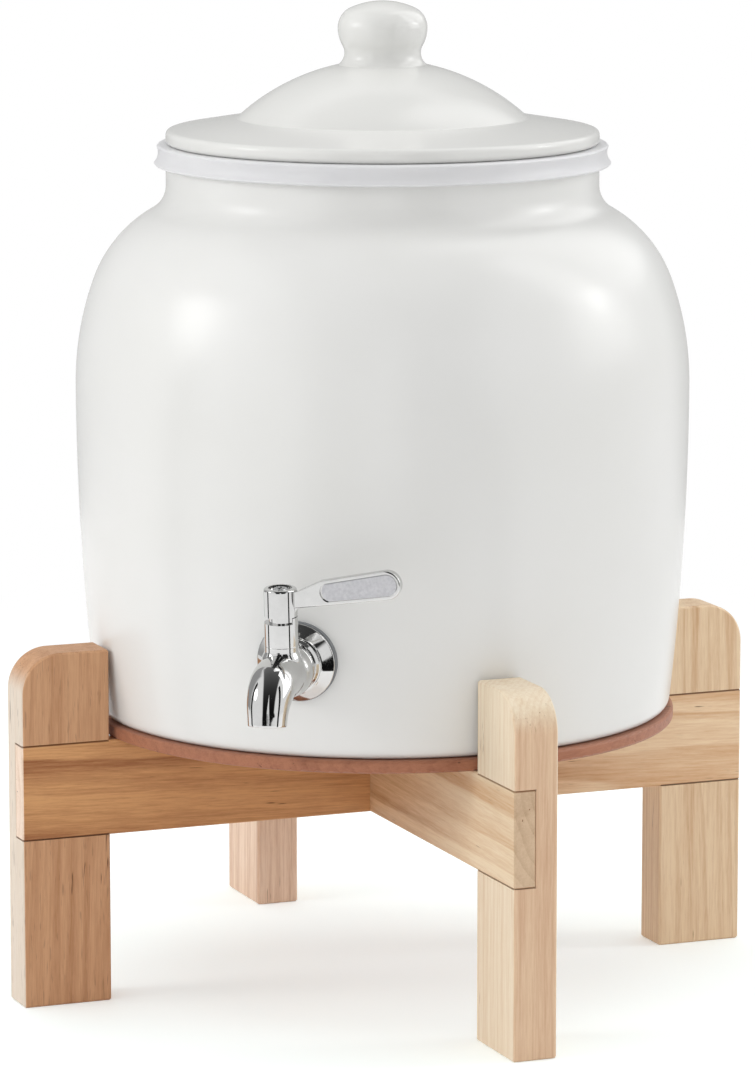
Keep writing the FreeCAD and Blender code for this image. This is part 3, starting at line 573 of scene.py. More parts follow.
    def checks(self, recipe: Recipe, log: Socket) -> Socket:
        """Adds short thin drying checks in a few patches and fine pores all over.

        The larger the board's checked value is, the more of both there are.

        Args:
            recipe: The timber's recipe.
            log: Coordinates with the log's heart at the origin and fibres along Z.

        Returns:
            How dark they make the wood, from 0 to 1.
        """
        flecks = recipe.add("MapRange", (self.FLECKS.build(recipe, log), *self.FLECK_EDGE))
        edge = [end - self.checked for end in self.PATCH_EDGE]
        patches = recipe.add("MapRange", (self.PATCHES.build(recipe, log), *edge))
        both = recipe.add("Math", (flecks, patches), operation="MULTIPLY")
        split = recipe.add("Math", (both, self.FLECK_DARKNESS), operation="MULTIPLY")
        most = max(0.0, self.PORE_GAIN * (self.checked - self.PORE_START))
        pores = (self.PORES.build(recipe, log), *self.PORE_EDGE, 0.0, most)
        return recipe.add("Math", (split, recipe.add("MapRange", pores)), operation="MAXIMUM")

    def painted_seam_shade(self, recipe: Recipe, where: Socket, laid: Socket) -> Socket:
        """Paints shade into the lines where the bevels of a beam meet the notch that holds it: the
        shade of the joint's narrow gap.

        Args:
            recipe: The timber's recipe.
            where: Coordinates with the height along Z.
            laid: Coordinates with the fibres along Z.

        Returns:
            How dark the painted shade makes the wood, from 0 to 1.
        """
        height = recipe.add("SeparateXYZ", (where,), output="Z")
        off = recipe.add("Math", (height, self.BEAM_MIDDLE_MM * MM), operation="SUBTRACT")
        off = recipe.add("Math", (off,), operation="ABSOLUTE")
        ends = [(self.BEAM_HEIGHT_MM / 2 - below) * MM for below in self.SEAM_SHADE_MM]
        line = recipe.add("MapRange", (off, *ends, 0.0, self.SEAM_SHADE_DARKNESS))
        along = recipe.add("SeparateXYZ", (laid,), output="Z")
        along = recipe.add("Math", (along,), operation="ABSOLUTE")
        held = recipe.add("Math", (along, self.NOTCH_START_MM * MM), operation="GREATER_THAN")
        return recipe.add("Math", (held, line), operation="MULTIPLY")

    def tone(self, recipe: Recipe, log: Socket, fibres: Socket) -> Socket:
        """Adds up rings, broad streaks, fibres and a few long dark veins with a clear edge.

        Args:
            recipe: The timber's recipe.
            log: Coordinates with the log's heart at the origin and fibres along Z.
            fibres: The values of the fibres.

        Returns:
            How dark the wood is, mostly from 0 to 1.
        """
        faintest = self.ring_contrast * self.FAINTEST_RING
        uneven = (self.CONTRAST.build(recipe, log), *USUAL, faintest, self.ring_contrast)
        ring = (self.rings(recipe, log), recipe.add("MapRange", uneven))
        total = recipe.add("Math", ring, operation="MULTIPLY")
        squeeze = self.STREAK_SQUEEZE
        streaks = Pattern(self.streak_mm, detail=4.0, roughness=0.7, squeeze=squeeze)
        veins = Pattern(self.streak_mm * self.VEIN_SIZE, squeeze=squeeze)
        darkest = self.ring_contrast * self.VEIN_DARKNESS
        parts = (
            (streaks.build(recipe, log), *USUAL, *self.STREAK_TONES),
            (fibres, *USUAL, *self.FIBRE_TONES),
            (veins.build(recipe, log), *self.VEIN_EDGE, 0.0, darkest),
        )
        for part in parts:
            total = recipe.add("Math", (total, recipe.add("MapRange", part)), operation="ADD")
        return total

    def build(self) -> Material:
        """Makes the timber.

        Returns:
            The material.
        """
        material = bpy.data.materials.new(f"sanded_oiled_timber_{self.node}")
        recipe = Recipe(material)
        where = recipe.add("TexCoord", output="Object")
        laid = recipe.add("Mapping", {"Vector": where, "Rotation": self.turn()})
        slant = (0.0, math.radians(self.slant_degrees), 0.0)
        slanted = recipe.add("Mapping", {"Vector": laid, "Rotation": slant})
        heart = (self.heart_mm[0] * MM, self.heart_mm[1] * MM, 0.0)
        log = recipe.add("VectorMath", (slanted, heart), operation="SUBTRACT")
        fibres = self.FIBRES.build(recipe, log)
        tone = self.tone(recipe, log, fibres)
        # The outer ends' tones: partly the wood's own, partly painted light and shade from the left
        # lamp.
        end_tones_with_painted_light = (tone, linear(self.tones.end), linear(self.tones.end_late))
        ends = recipe.add("Mix", end_tones_with_painted_light, data_type="RGBA")
        sides = (self.at_end(recipe, laid), self.faces(recipe, laid, tone), ends)
        grown = recipe.add("Mix", sides, data_type="RGBA")
        checks = self.checks(recipe, log)
        if self.grain is Grain.LENGTHWISE:
            # A beam also gets the painted shade of its joints' gaps, laid in with the checks.
            lines = (checks, self.painted_seam_shade(recipe, where, laid))
            checks = recipe.add("Math", lines, operation="MAXIMUM")
        split = (checks, grown, linear(self.tones.check))
        grooves = {
            "Height": recipe.add("Math", (fibres, checks), operation="SUBTRACT"),
            "Distance": self.GROOVE_DEPTH_MM * MM,
            "Strength": self.GROOVE_STRENGTH,
        }
        surface = {
            "Base Color": recipe.add("Mix", split, data_type="RGBA"),
            "Roughness": recipe.add("MapRange", (fibres, *USUAL, *self.ROUGHNESS)),
            "Normal": recipe.add("Bump", grooves),
            "IOR": self.IOR,
            "Specular IOR Level": self.SPECULAR,
            "Sheen Weight": self.SHEEN,
        }
        recipe.cover(surface)
        return material


# ----------------------------------------------------------------------------
# Profiles and surfaces
# ----------------------------------------------------------------------------

Points = np.ndarray


def arc(centre: tuple[float, float], radius: float, start: float, end: float, count: int) -> Points:
    """Samples an arc evenly: centre + radius (cos a, sin a), a from start to end.

    Args:
        centre: Radius and height of the arc's centre.
        radius: The arc's radius.
        start: First angle in radians, from the outward direction.
        end: Last angle in radians.
        count: How many points, both ends included.

    Returns:
        An array of count rows, each a radius and a height.
    """
    turn = np.linspace(start, end, count)
    return np.column_stack((centre[0] + radius * np.cos(turn), centre[1] + radius * np.sin(turn)))


class Outline:
    """A profile of radius and height, grown point by point, with rounded corners."""

    CUT: ClassVar[float] = 0.45  # the most of a side that one rounding takes away
    FLAT: ClassVar[float] = 0.49  # the most of a side up to the point that keeps it flat

    def __init__(self) -> None:
        """Starts with no points."""
        self.points: list[tuple[float, float, float]] = []

    def corner(self, across: float, up: float, rounding: float = 0.0) -> None:
        """Adds a corner, which is rounded to about the given radius."""
        self.points.append((across, up, rounding))

    def curve(self, samples: Points) -> None:
        """Adds the samples of a smooth curve as they are."""
        self.points.extend((across, up, 0.0) for across, up in samples)

    def sampled(self, steps: int = 6) -> Points:
        """Gives the profile's points with each rounded corner as a short curve.

        A corner B between A and C is cut at the distance d = rounding / tan(half angle)
        on both sides, and bridged by the quadratic curve through both cuts that B pulls.
        One more point at 2 d on each side keeps the shading of the flats flat. A short
        side limits d by CUT and 2 d by FLAT.

        Args:
            steps: Points per rounded corner.

        Returns:
            An array of rows, each a radius and a height.
        """
        rows = [np.array(point[:2]) for point in self.points]
        result: list[Points] = []
        for number, (point, (_, _, rounding)) in enumerate(zip(rows, self.points)):
            if rounding <= 0 or number in (0, len(rows) - 1) and not self.closed():
                result.append(point[None])
                continue
            before = rows[number - 1] - point
            after = rows[(number + 1) % len(rows)] - point
            lengths = np.linalg.norm(before), np.linalg.norm(after)
            before, after = before / lengths[0], after / lengths[1]
            half = math.acos(float(np.clip(before @ after, -1, 1))) / 2
            reach = min(rounding / math.tan(half), self.CUT * min(lengths))
            share = np.linspace(0, 1, steps)[:, None]
            start, end = point + before * reach, point + after * reach
            bridge = (1 - share) ** 2 * start + 2 * share * (1 - share) * point + share**2 * end
            near = point + before * min(2 * reach, self.FLAT * lengths[0])
            far = point + after * min(2 * reach, self.FLAT * lengths[1])
            result += [near[None], bridge, far[None]]
        return np.vstack(result)

    def closed(self) -> bool:
        """Tells whether the profile is a loop clear of the axis."""
        return self.points[0][0] > ON_AXIS


def grid_faces(rows: int, columns: int, wrap_rows: bool) -> Points:
    """Lists the quads of a grid whose columns always wrap round.

    Quad (i, j) joins points (i, j), (i, j + 1), (i + 1, j + 1) and (i + 1, j).

    Args:
        rows: Number of rows of points.
        columns: Number of points in a row.
        wrap_rows: Whether the last row joins the first.

    Returns:
        An array with four point numbers per quad.
    """
    first = np.arange(rows if wrap_rows else rows - 1)[:, None]
    across = np.arange(columns)[None, :]
    below, above = first * columns, (first + 1) % rows * columns
    beside = (across + 1) % columns
    corners = (below + across, below + beside, above + beside, above + across)
    return np.stack(corners, axis=-1).reshape(-1, 4)


@dataclass
class Surface:
    """Points and faces of one piece before it becomes a mesh."""

    points: Points
    faces: list[list[int]]

    def moved(self, matrix: Matrix) -> "Surface":
        """Carries the points through a matrix."""
        table = np.array(matrix)
        return Surface(self.points @ table[:3, :3].T + table[:3, 3], self.faces)

    def joined(self, other: "Surface") -> "Surface":
        """Puts another surface into the same piece.

        Args:
            other: The surface to add.

        Returns:
            Both as one surface.
        """
        shift = len(self.points)
        faces = self.faces + [[corner + shift for corner in face] for face in other.faces]
        return Surface(np.vstack((self.points, other.points)), faces)


def turned(profile: Points, segments: int) -> Surface:
    """Turns a profile about the Z axis: point (u, v) = (r(u) cos v, r(u) sin v, z(u)).

    A profile that starts and ends on the axis gets a single pole at each end, and any
    other profile is a loop. Its points run anticlockwise, so that faces point outwards.

    Args:
        profile: Rows of radius and height.
        segments: Points round the axis.

    Returns:
        The closed surface.
    """
    capped = profile[0, 0] < ON_AXIS
    rings = profile[1:-1] if capped else profile
    turn = np.linspace(0, 2 * math.pi, segments, endpoint=False)
    circle = np.column_stack((np.cos(turn), np.sin(turn)))
    flat = rings[:, None, :1] * circle[None]
    heights = np.broadcast_to(rings[:, None, 1:], flat.shape[:2] + (1,))
    points = np.concatenate((flat, heights), axis=2).reshape(-1, 3)
    faces = grid_faces(len(rings), segments, wrap_rows=not capped).tolist()
    if capped:
        low, high = len(points), len(points) + 1
        last = (len(rings) - 1) * segments
        points = np.vstack((points, [0, 0, profile[0, 1]], [0, 0, profile[-1, 1]]))
        step = np.arange(segments)
        beside = (step + 1) % segments
        faces += np.column_stack((beside, step, np.full(segments, low))).tolist()
        faces += np.column_stack((last + step, last + beside, np.full(segments, high))).tolist()
    return Surface(points, faces)


def swept(path: Points, radii: Points, facing: Points, segments: int = 96) -> Surface:
    """Carries a circle along a plane path: point (u, v) = p(u) + r(u) (cos v X + sin v n(u)).

    Args:
        path: Centres of the circles, rows of x, y and z, in the plane x = 0.
        radii: Radius of each circle.
        facing: The unit normal n of the path in its plane, one row per circle.
        segments: Points round each circle.

    Returns:
        The surface, with a flat cap at both ends.
    """
    turn = np.linspace(0, 2 * math.pi, segments, endpoint=False)
    aside = np.array([1.0, 0.0, 0.0])
    ring = np.cos(turn)[None, :, None] * aside + np.sin(turn)[None, :, None] * facing[:, None, :]
    points = (path[:, None, :] + radii[:, None, None] * ring).reshape(-1, 3)
    faces = grid_faces(len(path), segments, wrap_rows=False).tolist()
    faces.append(list(range(segments))[::-1])
    faces.append(list(range(len(points) - segments, len(points))))
    return Surface(points, faces)


def placed(name: str, data: bpy.types.ID) -> bpy.types.Object:
    """Puts a mesh, a lamp or a camera into the scene.

    Args:
        name: The new object's name.
        data: What it holds.

    Returns:
        The new object, at the origin and unturned.
    """
    thing = bpy.data.objects.new(name, data)
    bpy.context.scene.collection.objects.link(thing)
    return thing


def make_piece(name: str, surface: Surface, material: Material, body: str) -> bpy.types.Object:
    """Makes a smooth mesh piece that rides on a body.

    Args:
        name: The piece's name.
        surface: Its points and faces, in metres in the shared frame.
        material: Its finish.
        body: The CAD body that it moves with.

    Returns:
        The new object, at the origin and unturned.
    """
    mesh = bpy.data.meshes.new(name)
    mesh.from_pydata(surface.points.tolist(), [], surface.faces)
    mesh.polygons.foreach_set("use_smooth", [True] * len(mesh.polygons))
    mesh.validate()
    mesh.update()
    mesh.materials.append(material)
    piece = placed(name, mesh)
    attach(piece, body)
    return piece


def dress(frame: dict, node: str, material: Material) -> None:
    """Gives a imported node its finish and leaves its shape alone."""
    for slot in frame["nodes"][node].material_slots:
        slot.material = material


# ----------------------------------------------------------------------------
# The crock, its rim ring and its lid
# ----------------------------------------------------------------------------


@dataclass
class Crock:
    """The turned vessel: recessed foot, slow side, round shoulder, short neck."""

    foot_z: float = 122.0 * MM
    height: float = 246.0 * MM
    wall: float = 7.0 * MM
    floor: float = 9.0 * MM
    belly_radius: float = 135.2 * MM
    belly_height: float = 144.0 * MM
    side_radius: float = 1300.0 * MM
    shoulder_height: float = 190.0 * MM
    shoulder_radius: float = 134.0 * MM
    turn_radius: float = 57.0 * MM
    fillet_radius: float = 13.0 * MM
    neck_radius: float = 95.0 * MM
    foot_rounding: float = 5.0 * MM
    floor_rounding: float = 10.0 * MM
    rim_rounding: float = 2.2 * MM
    recess_radius: float = 108.0 * MM
    recess_depth: float = 2.0 * MM
    foot_samples: int = 3  # samples of the outside that the rounded foot takes up
    floor_samples: int = 7  # samples of the inside that the rounded floor takes up

    def wall_curve(self, inset: float, low: float) -> Points:
        """Samples the wall from low up to the neck, set in by inset along its arcs.

        Side, shoulder, turn and fillet are arcs that share a tangent where they meet.

        Args:
            inset: Distance inwards from the outside of the wall.
            low: Height of the lowest point above the foot.

        Returns:
            Rows of radius and height above the foot, going up.
        """
        side = (self.belly_radius - self.side_radius, self.belly_height)
        shoulder = (self.belly_radius - self.shoulder_radius, self.belly_height)
        joint = math.asin((self.shoulder_height - self.belly_height) / self.shoulder_radius)
        shift = self.shoulder_radius - self.turn_radius
        turn = (shoulder[0] + shift * math.cos(joint), shoulder[1] + shift * math.sin(joint))
        reach = self.turn_radius + self.fillet_radius
        lean = math.acos((self.neck_radius + self.fillet_radius - turn[0]) / reach)
        fillet = (self.neck_radius + self.fillet_radius, turn[1] + reach * math.sin(lean))
        side_radius = self.side_radius - inset
        start = math.asin((low - self.belly_height) / side_radius)
        pieces = [
            arc(side, side_radius, start, 0.0, count=40),
            arc(shoulder, self.shoulder_radius - inset, 0.0, joint, count=16)[1:],
            arc(turn, self.turn_radius - inset, joint, lean, count=26)[1:],
            arc(fillet, self.fillet_radius + inset, lean + math.pi, math.pi, count=14)[1:],
        ]
        return np.vstack(pieces)

    def profile(self) -> Points:
        """Draws the section of the wall from the foot's centre to the floor's.

        Returns:
            Rows of radius and height, in the shared frame.
        """
        outside = self.wall_curve(0.0, 0.0)
        inside = self.wall_curve(self.wall, self.floor)[::-1]
        outline = Outline()
        outline.corner(0.0, self.recess_depth)
        outline.corner(self.recess_radius, self.recess_depth, rounding=1.0 * MM)
        outline.corner(self.recess_radius, 0.0, rounding=1.0 * MM)
        outline.corner(*outside[0], self.foot_rounding)
        outline.curve(outside[self.foot_samples :])
        outline.corner(self.neck_radius, self.height, self.rim_rounding)
        outline.corner(self.neck_radius - self.wall, self.height, self.rim_rounding)
        outline.curve(inside[: -self.floor_samples])
        outline.corner(*inside[-1], self.floor_rounding)
        outline.corner(0.0, self.floor)
        return outline.sampled(steps=10) + [0.0, self.foot_z]

    def build(self, glaze: Material) -> None:
        """Makes the crock and stands it in for its solid.

        Args:
            glaze: Its finish.
        """
        surface = turned(self.profile(), segments=256)
        piece = make_piece("crock_glazed", surface, glaze, "crock")
        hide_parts("crock")


@dataclass
class RimRing:
    """The soft ring over the rim: flared skirt, waist, flat top, inner skirt."""

    rim_z: float = 368.0 * MM
    neck_radius: float = 95.0 * MM
    wall: float = 7.0 * MM
    skirt_width: float = 5.2 * MM
    skirt_drop: float = 5.8 * MM
    lip_height: float = 0.8 * MM
    waist_radius: float = 6.6 * MM
    taper: float = 1.2 * MM
    edge: float = 0.8 * MM
    top: float = 3.2 * MM
    inner_drop: float = 11.0 * MM
    inner_thickness: float = 3.5 * MM

    def waist(self) -> Points:
        """Samples the hollow arc between the lip and the upper edge.

        Returns:
            Rows of radius and height above the rim, going up.
        """
        low = np.array([self.neck_radius + self.skirt_width, self.lip_height - self.skirt_drop])
        high = np.array([low[0] - self.taper, self.top - self.edge])
        chord = high - low
        half = np.linalg.norm(chord) / 2
        outward = np.array([chord[1], -chord[0]]) / (2 * half)
        centre = (low + high) / 2 + outward * math.sqrt(self.waist_radius**2 - half**2)
        angles = [math.atan2(*(end - centre)[::-1]) % (2 * math.pi) for end in (low, high)]
        return arc(tuple(centre), self.waist_radius, *angles, count=14)

    def profile(self) -> Points:
        """Draws the ring's section, from the foot of its skirt round to the rim.

        Returns:
            Rows of radius and height, in the shared frame.
        """
        outer = self.neck_radius + self.skirt_width
        inner = self.neck_radius - self.wall
        inside = inner - self.inner_thickness
        outline = Outline()
        outline.corner(self.neck_radius, -self.skirt_drop, rounding=0.4 * MM)
        outline.corner(outer - self.edge, -self.skirt_drop, rounding=0.5 * MM)
        waist = self.waist()
        outline.corner(*waist[0], rounding=0.3 * MM)
        outline.curve(waist[2:-1])  # the rounded lip takes up the second sample
        outline.corner(*waist[-1], rounding=0.3 * MM)
        outline.corner(outer - self.taper - self.edge, self.top, rounding=0.6 * MM)
        outline.corner(inside, self.top, rounding=0.7 * MM)
        outline.corner(inside, -self.inner_drop, rounding=0.6 * MM)
        outline.corner(inner, -self.inner_drop, rounding=0.6 * MM)
        outline.corner(inner, 0.0)
        outline.corner(self.neck_radius, 0.0)
        return outline.sampled() + [0.0, self.rim_z]

    def build(self, rubber: Material) -> None:
        """Makes the ring and stands it in for its solid.

        Args:
            rubber: Its finish.
        """
        surface = turned(self.profile(), segments=256)
        piece = make_piece("rim_ring_soft", surface, rubber, "crock")
        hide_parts("rim_ring")


@dataclass
class Lid:
    """The lid: locating rim, brim, step, dome, drawn-in neck and round knob."""

    seat_z: float = 371.2 * MM
    radius: float = 95.0 * MM
    edge_height: float = 6.0 * MM
    edge_rounding: float = 2.6 * MM
    step_radius: float = 63.8 * MM
    step_height: float = 11.3 * MM
    dome_radius: float = 96.0 * MM
    dome_height: float = 34.4 * MM
    hollow_radius: float = 62.0 * MM
    hollow_edge: float = 5.0 * MM
    hollow_height: float = 28.5 * MM
    plug_radius: float = 83.0 * MM
    plug_wall: float = 6.0 * MM
    plug_depth: float = 12.0 * MM
    knob_radius: float = 19.6 * MM
    knob_height: float = 50.6 * MM
    knob_corner: float = 9.5 * MM
    knob_top: float = 34.0 * MM
    knob_side: float = 16.0 * MM
    knob_drop: float = 7.8 * MM
    neck_curve: float = 6.5 * MM

    def knob_curve(self) -> Points:
        """Samples the knob from the foot of its neck to its top, going up and inwards.

        Neck, side, corner and top are arcs that share a tangent where they meet.

        Returns:
            Rows of radius and height above the seat.
        """
        corner = (self.knob_radius - self.knob_corner, self.knob_height)
        side = (self.knob_radius - self.knob_side, self.knob_height)
        side_end = -math.asin(self.knob_drop / self.knob_side)
        reach = self.knob_side + self.neck_curve
        neck = (side[0] + reach * math.cos(side_end), side[1] + reach * math.sin(side_end))
        foot = math.pi + math.asin((neck[1] - self.dome_height) / self.neck_curve)
        top_reach = self.knob_top - self.knob_corner
        top_turn = math.acos(corner[0] / top_reach)
        top = (0.0, corner[1] - top_reach * math.sin(top_turn))
        pieces = [
            arc(neck, self.neck_curve, foot, math.pi + side_end, count=18),
            arc(side, self.knob_side, side_end, 0.0, count=10)[1:],
            arc(corner, self.knob_corner, 0.0, top_turn, count=18)[1:],
            arc(top, self.knob_top, top_turn, math.pi / 2, count=12)[1:],
        ]
        return np.vstack(pieces)

    def dome_curve(self, start: Points, end: Points) -> Points:
        """Samples the dome's outward arc from the step to the neck of the knob.

        Args:
            start: Radius and height of its lower end.
            end: Radius and height of its upper end.

        Returns:
            Rows of radius and height above the seat, going up.
        """
        chord = end - start
        half = np.linalg.norm(chord) / 2
        inward = np.array([-chord[1], chord[0]]) / (2 * half)
        centre = (start + end) / 2 + inward * math.sqrt(self.dome_radius**2 - half**2)
        angles = [math.atan2(*(point - centre)[::-1]) for point in (start, end)]
        return arc(tuple(centre), self.dome_radius, *angles, count=26)

    def profile(self) -> Points:
        """Draws the lid's section from the top of its hollow round to the knob's top.

        Returns:
            Rows of radius and height, in the shared frame.
        """
        knob = self.knob_curve()
        step = np.array([self.step_radius, self.step_height])
        dome = self.dome_curve(step, knob[0])
        plug_inside = self.plug_radius - self.plug_wall
        rise = self.hollow_height - self.hollow_edge
        hollow = (self.hollow_radius**2 + rise**2) / (2 * rise)
        half = math.asin(self.hollow_radius / hollow)
        centre = (0.0, self.hollow_height - hollow)
        under = arc(centre, hollow, math.pi / 2, math.pi / 2 - half, count=24)
        outline = Outline()
        outline.curve(under[:-1])
        outline.corner(*under[-1], rounding=3.0 * MM)
        outline.corner(plug_inside, self.hollow_edge / 2, rounding=1.5 * MM)
        outline.corner(plug_inside, -self.plug_depth, rounding=1.6 * MM)
        outline.corner(self.plug_radius, -self.plug_depth, rounding=1.6 * MM)
        outline.corner(self.plug_radius, 0.0, rounding=1.0 * MM)
        outline.corner(self.radius, 0.0, self.edge_rounding)
        outline.corner(self.radius, self.edge_height, self.edge_rounding)
        outline.corner(*dome[0], rounding=2.0 * MM)
        outline.curve(dome[1:-1])
        outline.corner(*knob[0], rounding=1.5 * MM)
        outline.curve(knob[1:])
        profile = outline.sampled(steps=10) + [0.0, self.seat_z]
        profile[0, 0] = profile[-1, 0] = 0.0
        return profile

    def build(self, glaze: Material) -> None:
        """Makes the lid and stands it in for its solid.

        Args:
            glaze: Its finish.
        """
        piece = make_piece("lid_glazed", turned(self.profile(), segments=224), glaze, "lid")
        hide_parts("lid")


# ----------------------------------------------------------------------------
# The tap and its lever
# ----------------------------------------------------------------------------


@dataclass
class Tap:
    """The tap: soft seals, flange, ball and bent spout, bonnet, valve, lever."""

    # The outlet's lip: how far up the outlet's axis, and how far in from its outside.
    LIP_MM: ClassVar[tuple[tuple[float, float], ...]] = (
        (2.6, 0.0), (1.0, 0.0), (0.35, 0.0), (0.12, 0.1), (0.0, 0.4), (0.0, 1.3), (0.15, 1.65),
    )
    TAPERED: ClassVar[int] = 3  # how many of them lie on the spout's tapered outside
    BORE_MM: ClassVar[tuple[float, ...]] = (0.6, 3.0, 8.0)  # up the axis, on the bore
    SHARPNESS: ClassVar[int] = 28  # of the joint between ball and barrel

    crock: Crock
    height: float = 42.8 * MM
    seal: float = 1.6 * MM
    shank_radius: float = 8.0 * MM
    shank_depth: float = 24.0 * MM
    flange_radius: float = 17.0 * MM
    flange_rim: float = 1.2 * MM
    flange_thickness: float = 5.4 * MM
    flange_front: float = 12.4 * MM
    flange_collar: float = 1.5 * MM
    flange_bevel: float = 0.5 * MM
    barrel_radius: float = 10.1 * MM
    ball_radius: float = 11.5 * MM
    ball_reach: float = 15.6 * MM
    valve_reach: float = 22.3 * MM
    boss_radius: float = 7.15 * MM
    boss_top: float = 13.0 * MM
    boss_flare: float = 1.2 * MM
    flare_heights: tuple[float, float] = (8.0 * MM, 10.4 * MM)
    spout_reach: float = 45.4 * MM
    bend_radius: float = 14.0 * MM
    bend_degrees: float = 80.0
    spout_drop: float = 15.9 * MM
    outlet_radius: float = 8.15 * MM
    outlet_bore: float = 6.4 * MM

    def seat(self) -> Matrix:
        """Gives the tap's own frame: on the wall, square to it, -Y outwards, Z up the stem.

        Returns:
            The matrix from that frame to the shared one.
        """
        crock = self.crock
        drop = crock.belly_height - self.height
        lean = math.asin(drop / crock.side_radius)
        face = crock.belly_radius - crock.side_radius * (1 - math.cos(lean))
        place = Matrix.Translation((0.0, -face, crock.foot_z + self.height))
        return place @ Matrix.Rotation(lean, 4, "X")

    def axis(self) -> Matrix:
        """Gives the frame for what is turned about the tap's axis, with Z outwards."""
        return self.seat() @ Matrix.Rotation(math.radians(90), 4, "X")

    def flange(self) -> Surface:
        """Turns the domed flange with its rim, front edge and hollow collar.

        Returns:
            The surface, in the shared frame.
        """
        front = self.seal + self.flange_thickness
        collar = front + self.flange_collar
        edge = self.flange_front
        bevel = self.flange_bevel
        outline = Outline()
        outline.corner(self.shank_radius, self.seal)
        outline.corner(self.flange_radius, self.seal, rounding=0.3 * MM)
        outline.corner(self.flange_radius, self.seal + self.flange_rim, rounding=0.6 * MM)
        outline.corner(edge + bevel, front - bevel, rounding=0.5 * MM)
        outline.corner(edge, front, rounding=0.4 * MM)
        outline.corner(self.barrel_radius + self.flange_collar, front, rounding=0.5 * MM)
        outline.corner(self.barrel_radius + bevel, collar, rounding=0.3 * MM)
        outline.corner(self.shank_radius, collar)
        return turned(outline.sampled(), segments=160).moved(self.axis())

    def shank(self) -> Surface:
        """Turns the shank that runs from the flange through the wall.

        Returns:
            The surface, in the shared frame.
        """
        front = self.seal + self.flange_thickness
        outline = Outline()
        outline.corner(0.0, -self.shank_depth)
        outline.corner(self.shank_radius, -self.shank_depth, rounding=1.0 * MM)
        outline.corner(self.shank_radius, front)
        outline.corner(0.0, front)
        return turned(outline.sampled(), segments=96).moved(self.axis())

    def barrel_width(self, out: Points) -> Points:
        """Gives the barrel's radius with the ball on it: the larger one, with a soft joint.

        With n for the sharpness, the radius is (ball^n + barrel^n)^(1/n).

        Args:
            out: Distances from the wall along the barrel.

        Returns:
            The radius at each distance.
        """
        ball = np.sqrt(np.maximum(self.ball_radius**2 - (out - self.ball_reach) ** 2, 0.0))
        both = (ball / MM) ** self.SHARPNESS + (self.barrel_radius / MM) ** self.SHARPNESS
        return MM * both ** (1 / self.SHARPNESS)

    def spout(self) -> Surface:
        """Sweeps barrel, bend and outlet, and turns back up inside the outlet.

        Along the bend the radius falls from the barrel's towards the outlet's by 1 - cos a,
        and evenly below it. Rises count from the outlet's edge back up its own axis.

        Returns:
            The surface, in the shared frame.
        """
        last = math.radians(self.bend_degrees)
        sine, cosine = math.sin(last), math.cos(last)
        start = self.seal + self.flange_thickness
        tail = (self.spout_drop - self.bend_radius * (1 - cosine)) / sine
        bend_start = self.spout_reach - self.bend_radius * sine - tail * cosine
        straight = np.linspace(start, bend_start, num=34)
        angle = np.linspace(0, last, num=26)[1:]
        narrowing = (self.outlet_radius - self.barrel_radius) * (1 - np.cos(angle))
        flare = (self.barrel_radius - self.outlet_radius) * cosine / tail
        rises = np.array([rise for rise, _ in self.LIP_MM] + list(self.BORE_MM)) * MM
        sizes = [self.outlet_radius - inwards * MM for _, inwards in self.LIP_MM]
        tapered = rises[: self.TAPERED]
        sizes[: self.TAPERED] = [self.outlet_radius + flare * rise for rise in tapered]
        sizes += [self.outlet_bore] * len(self.BORE_MM)
        widths = [self.barrel_width(straight), self.barrel_radius + narrowing, np.array(sizes)]
        rows_out = [straight, bend_start + self.bend_radius * np.sin(angle)]
        rows_out.append(self.spout_reach - rises * cosine)
        rows_up = [np.zeros_like(straight), self.bend_radius * (np.cos(angle) - 1)]
        rows_up.append(rises * sine - self.spout_drop)
        turns = [np.zeros_like(straight), angle, np.full(len(rises), last)]
        out, up = np.concatenate(rows_out), np.concatenate(rows_up)
        turn, width = np.concatenate(turns), np.concatenate(widths)
        nothing = np.zeros_like(out)
        path = np.column_stack((nothing, -out, up))
        facing = np.column_stack((nothing, -np.sin(turn), np.cos(turn)))
        return swept(path, width, facing).moved(self.seat())

    def boss(self) -> Surface:
        """Turns the short boss that stands on the ball and takes the bonnet.

        Returns:
            The surface, in the shared frame.
        """
        foot = self.boss_radius + self.boss_flare
        low, high = self.flare_heights
        outline = Outline()
        outline.corner(0.0, 0.0)
        outline.corner(foot, 0.0)
        outline.corner(foot, low)
        outline.corner(self.boss_radius, high, rounding=1.5 * MM)
        outline.corner(self.boss_radius, self.boss_top, rounding=0.2 * MM)
        outline.corner(0.0, self.boss_top)
        place = Matrix.Translation((0.0, -self.valve_reach, 0.0))
        return turned(outline.sampled(), segments=128).moved(self.seat() @ place)

    def build(self, frame: dict, finishes: dict[str, Material]) -> None:
        """Makes the flange, body and shank, and dresses the other pieces of the tap.

        Args:
            frame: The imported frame.
            finishes: The materials by their short names.
        """
        chrome = finishes["chrome"]
        flange = make_piece("tap_flange_polished", self.flange(), chrome, "crock")
        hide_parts("tap_flange")
        body = make_piece("tap_body_polished", self.spout().joined(self.boss()), chrome, "crock")
        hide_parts("tap_body")
        stub = make_piece("tap_shank", self.shank(), chrome, "crock")
        plain = {
            "valve_bonnet": "chrome",
            "tap_lever": "chrome",
            "lever_screw": "steel",
            "lever_inlay": "inlay",
            "tap_outer_seal": "grey_silicone",
            "tap_inner_seal": "grey_silicone",
            "tap_washer": "steel",
            "tap_nut": "steel",
            "valve_plug": "brass",
            "stem_seals": "nitrile",
        }
        for node, finish in plain.items():
            dress(frame, node, finishes[finish])


# ----------------------------------------------------------------------------
# The stand
# ----------------------------------------------------------------------------


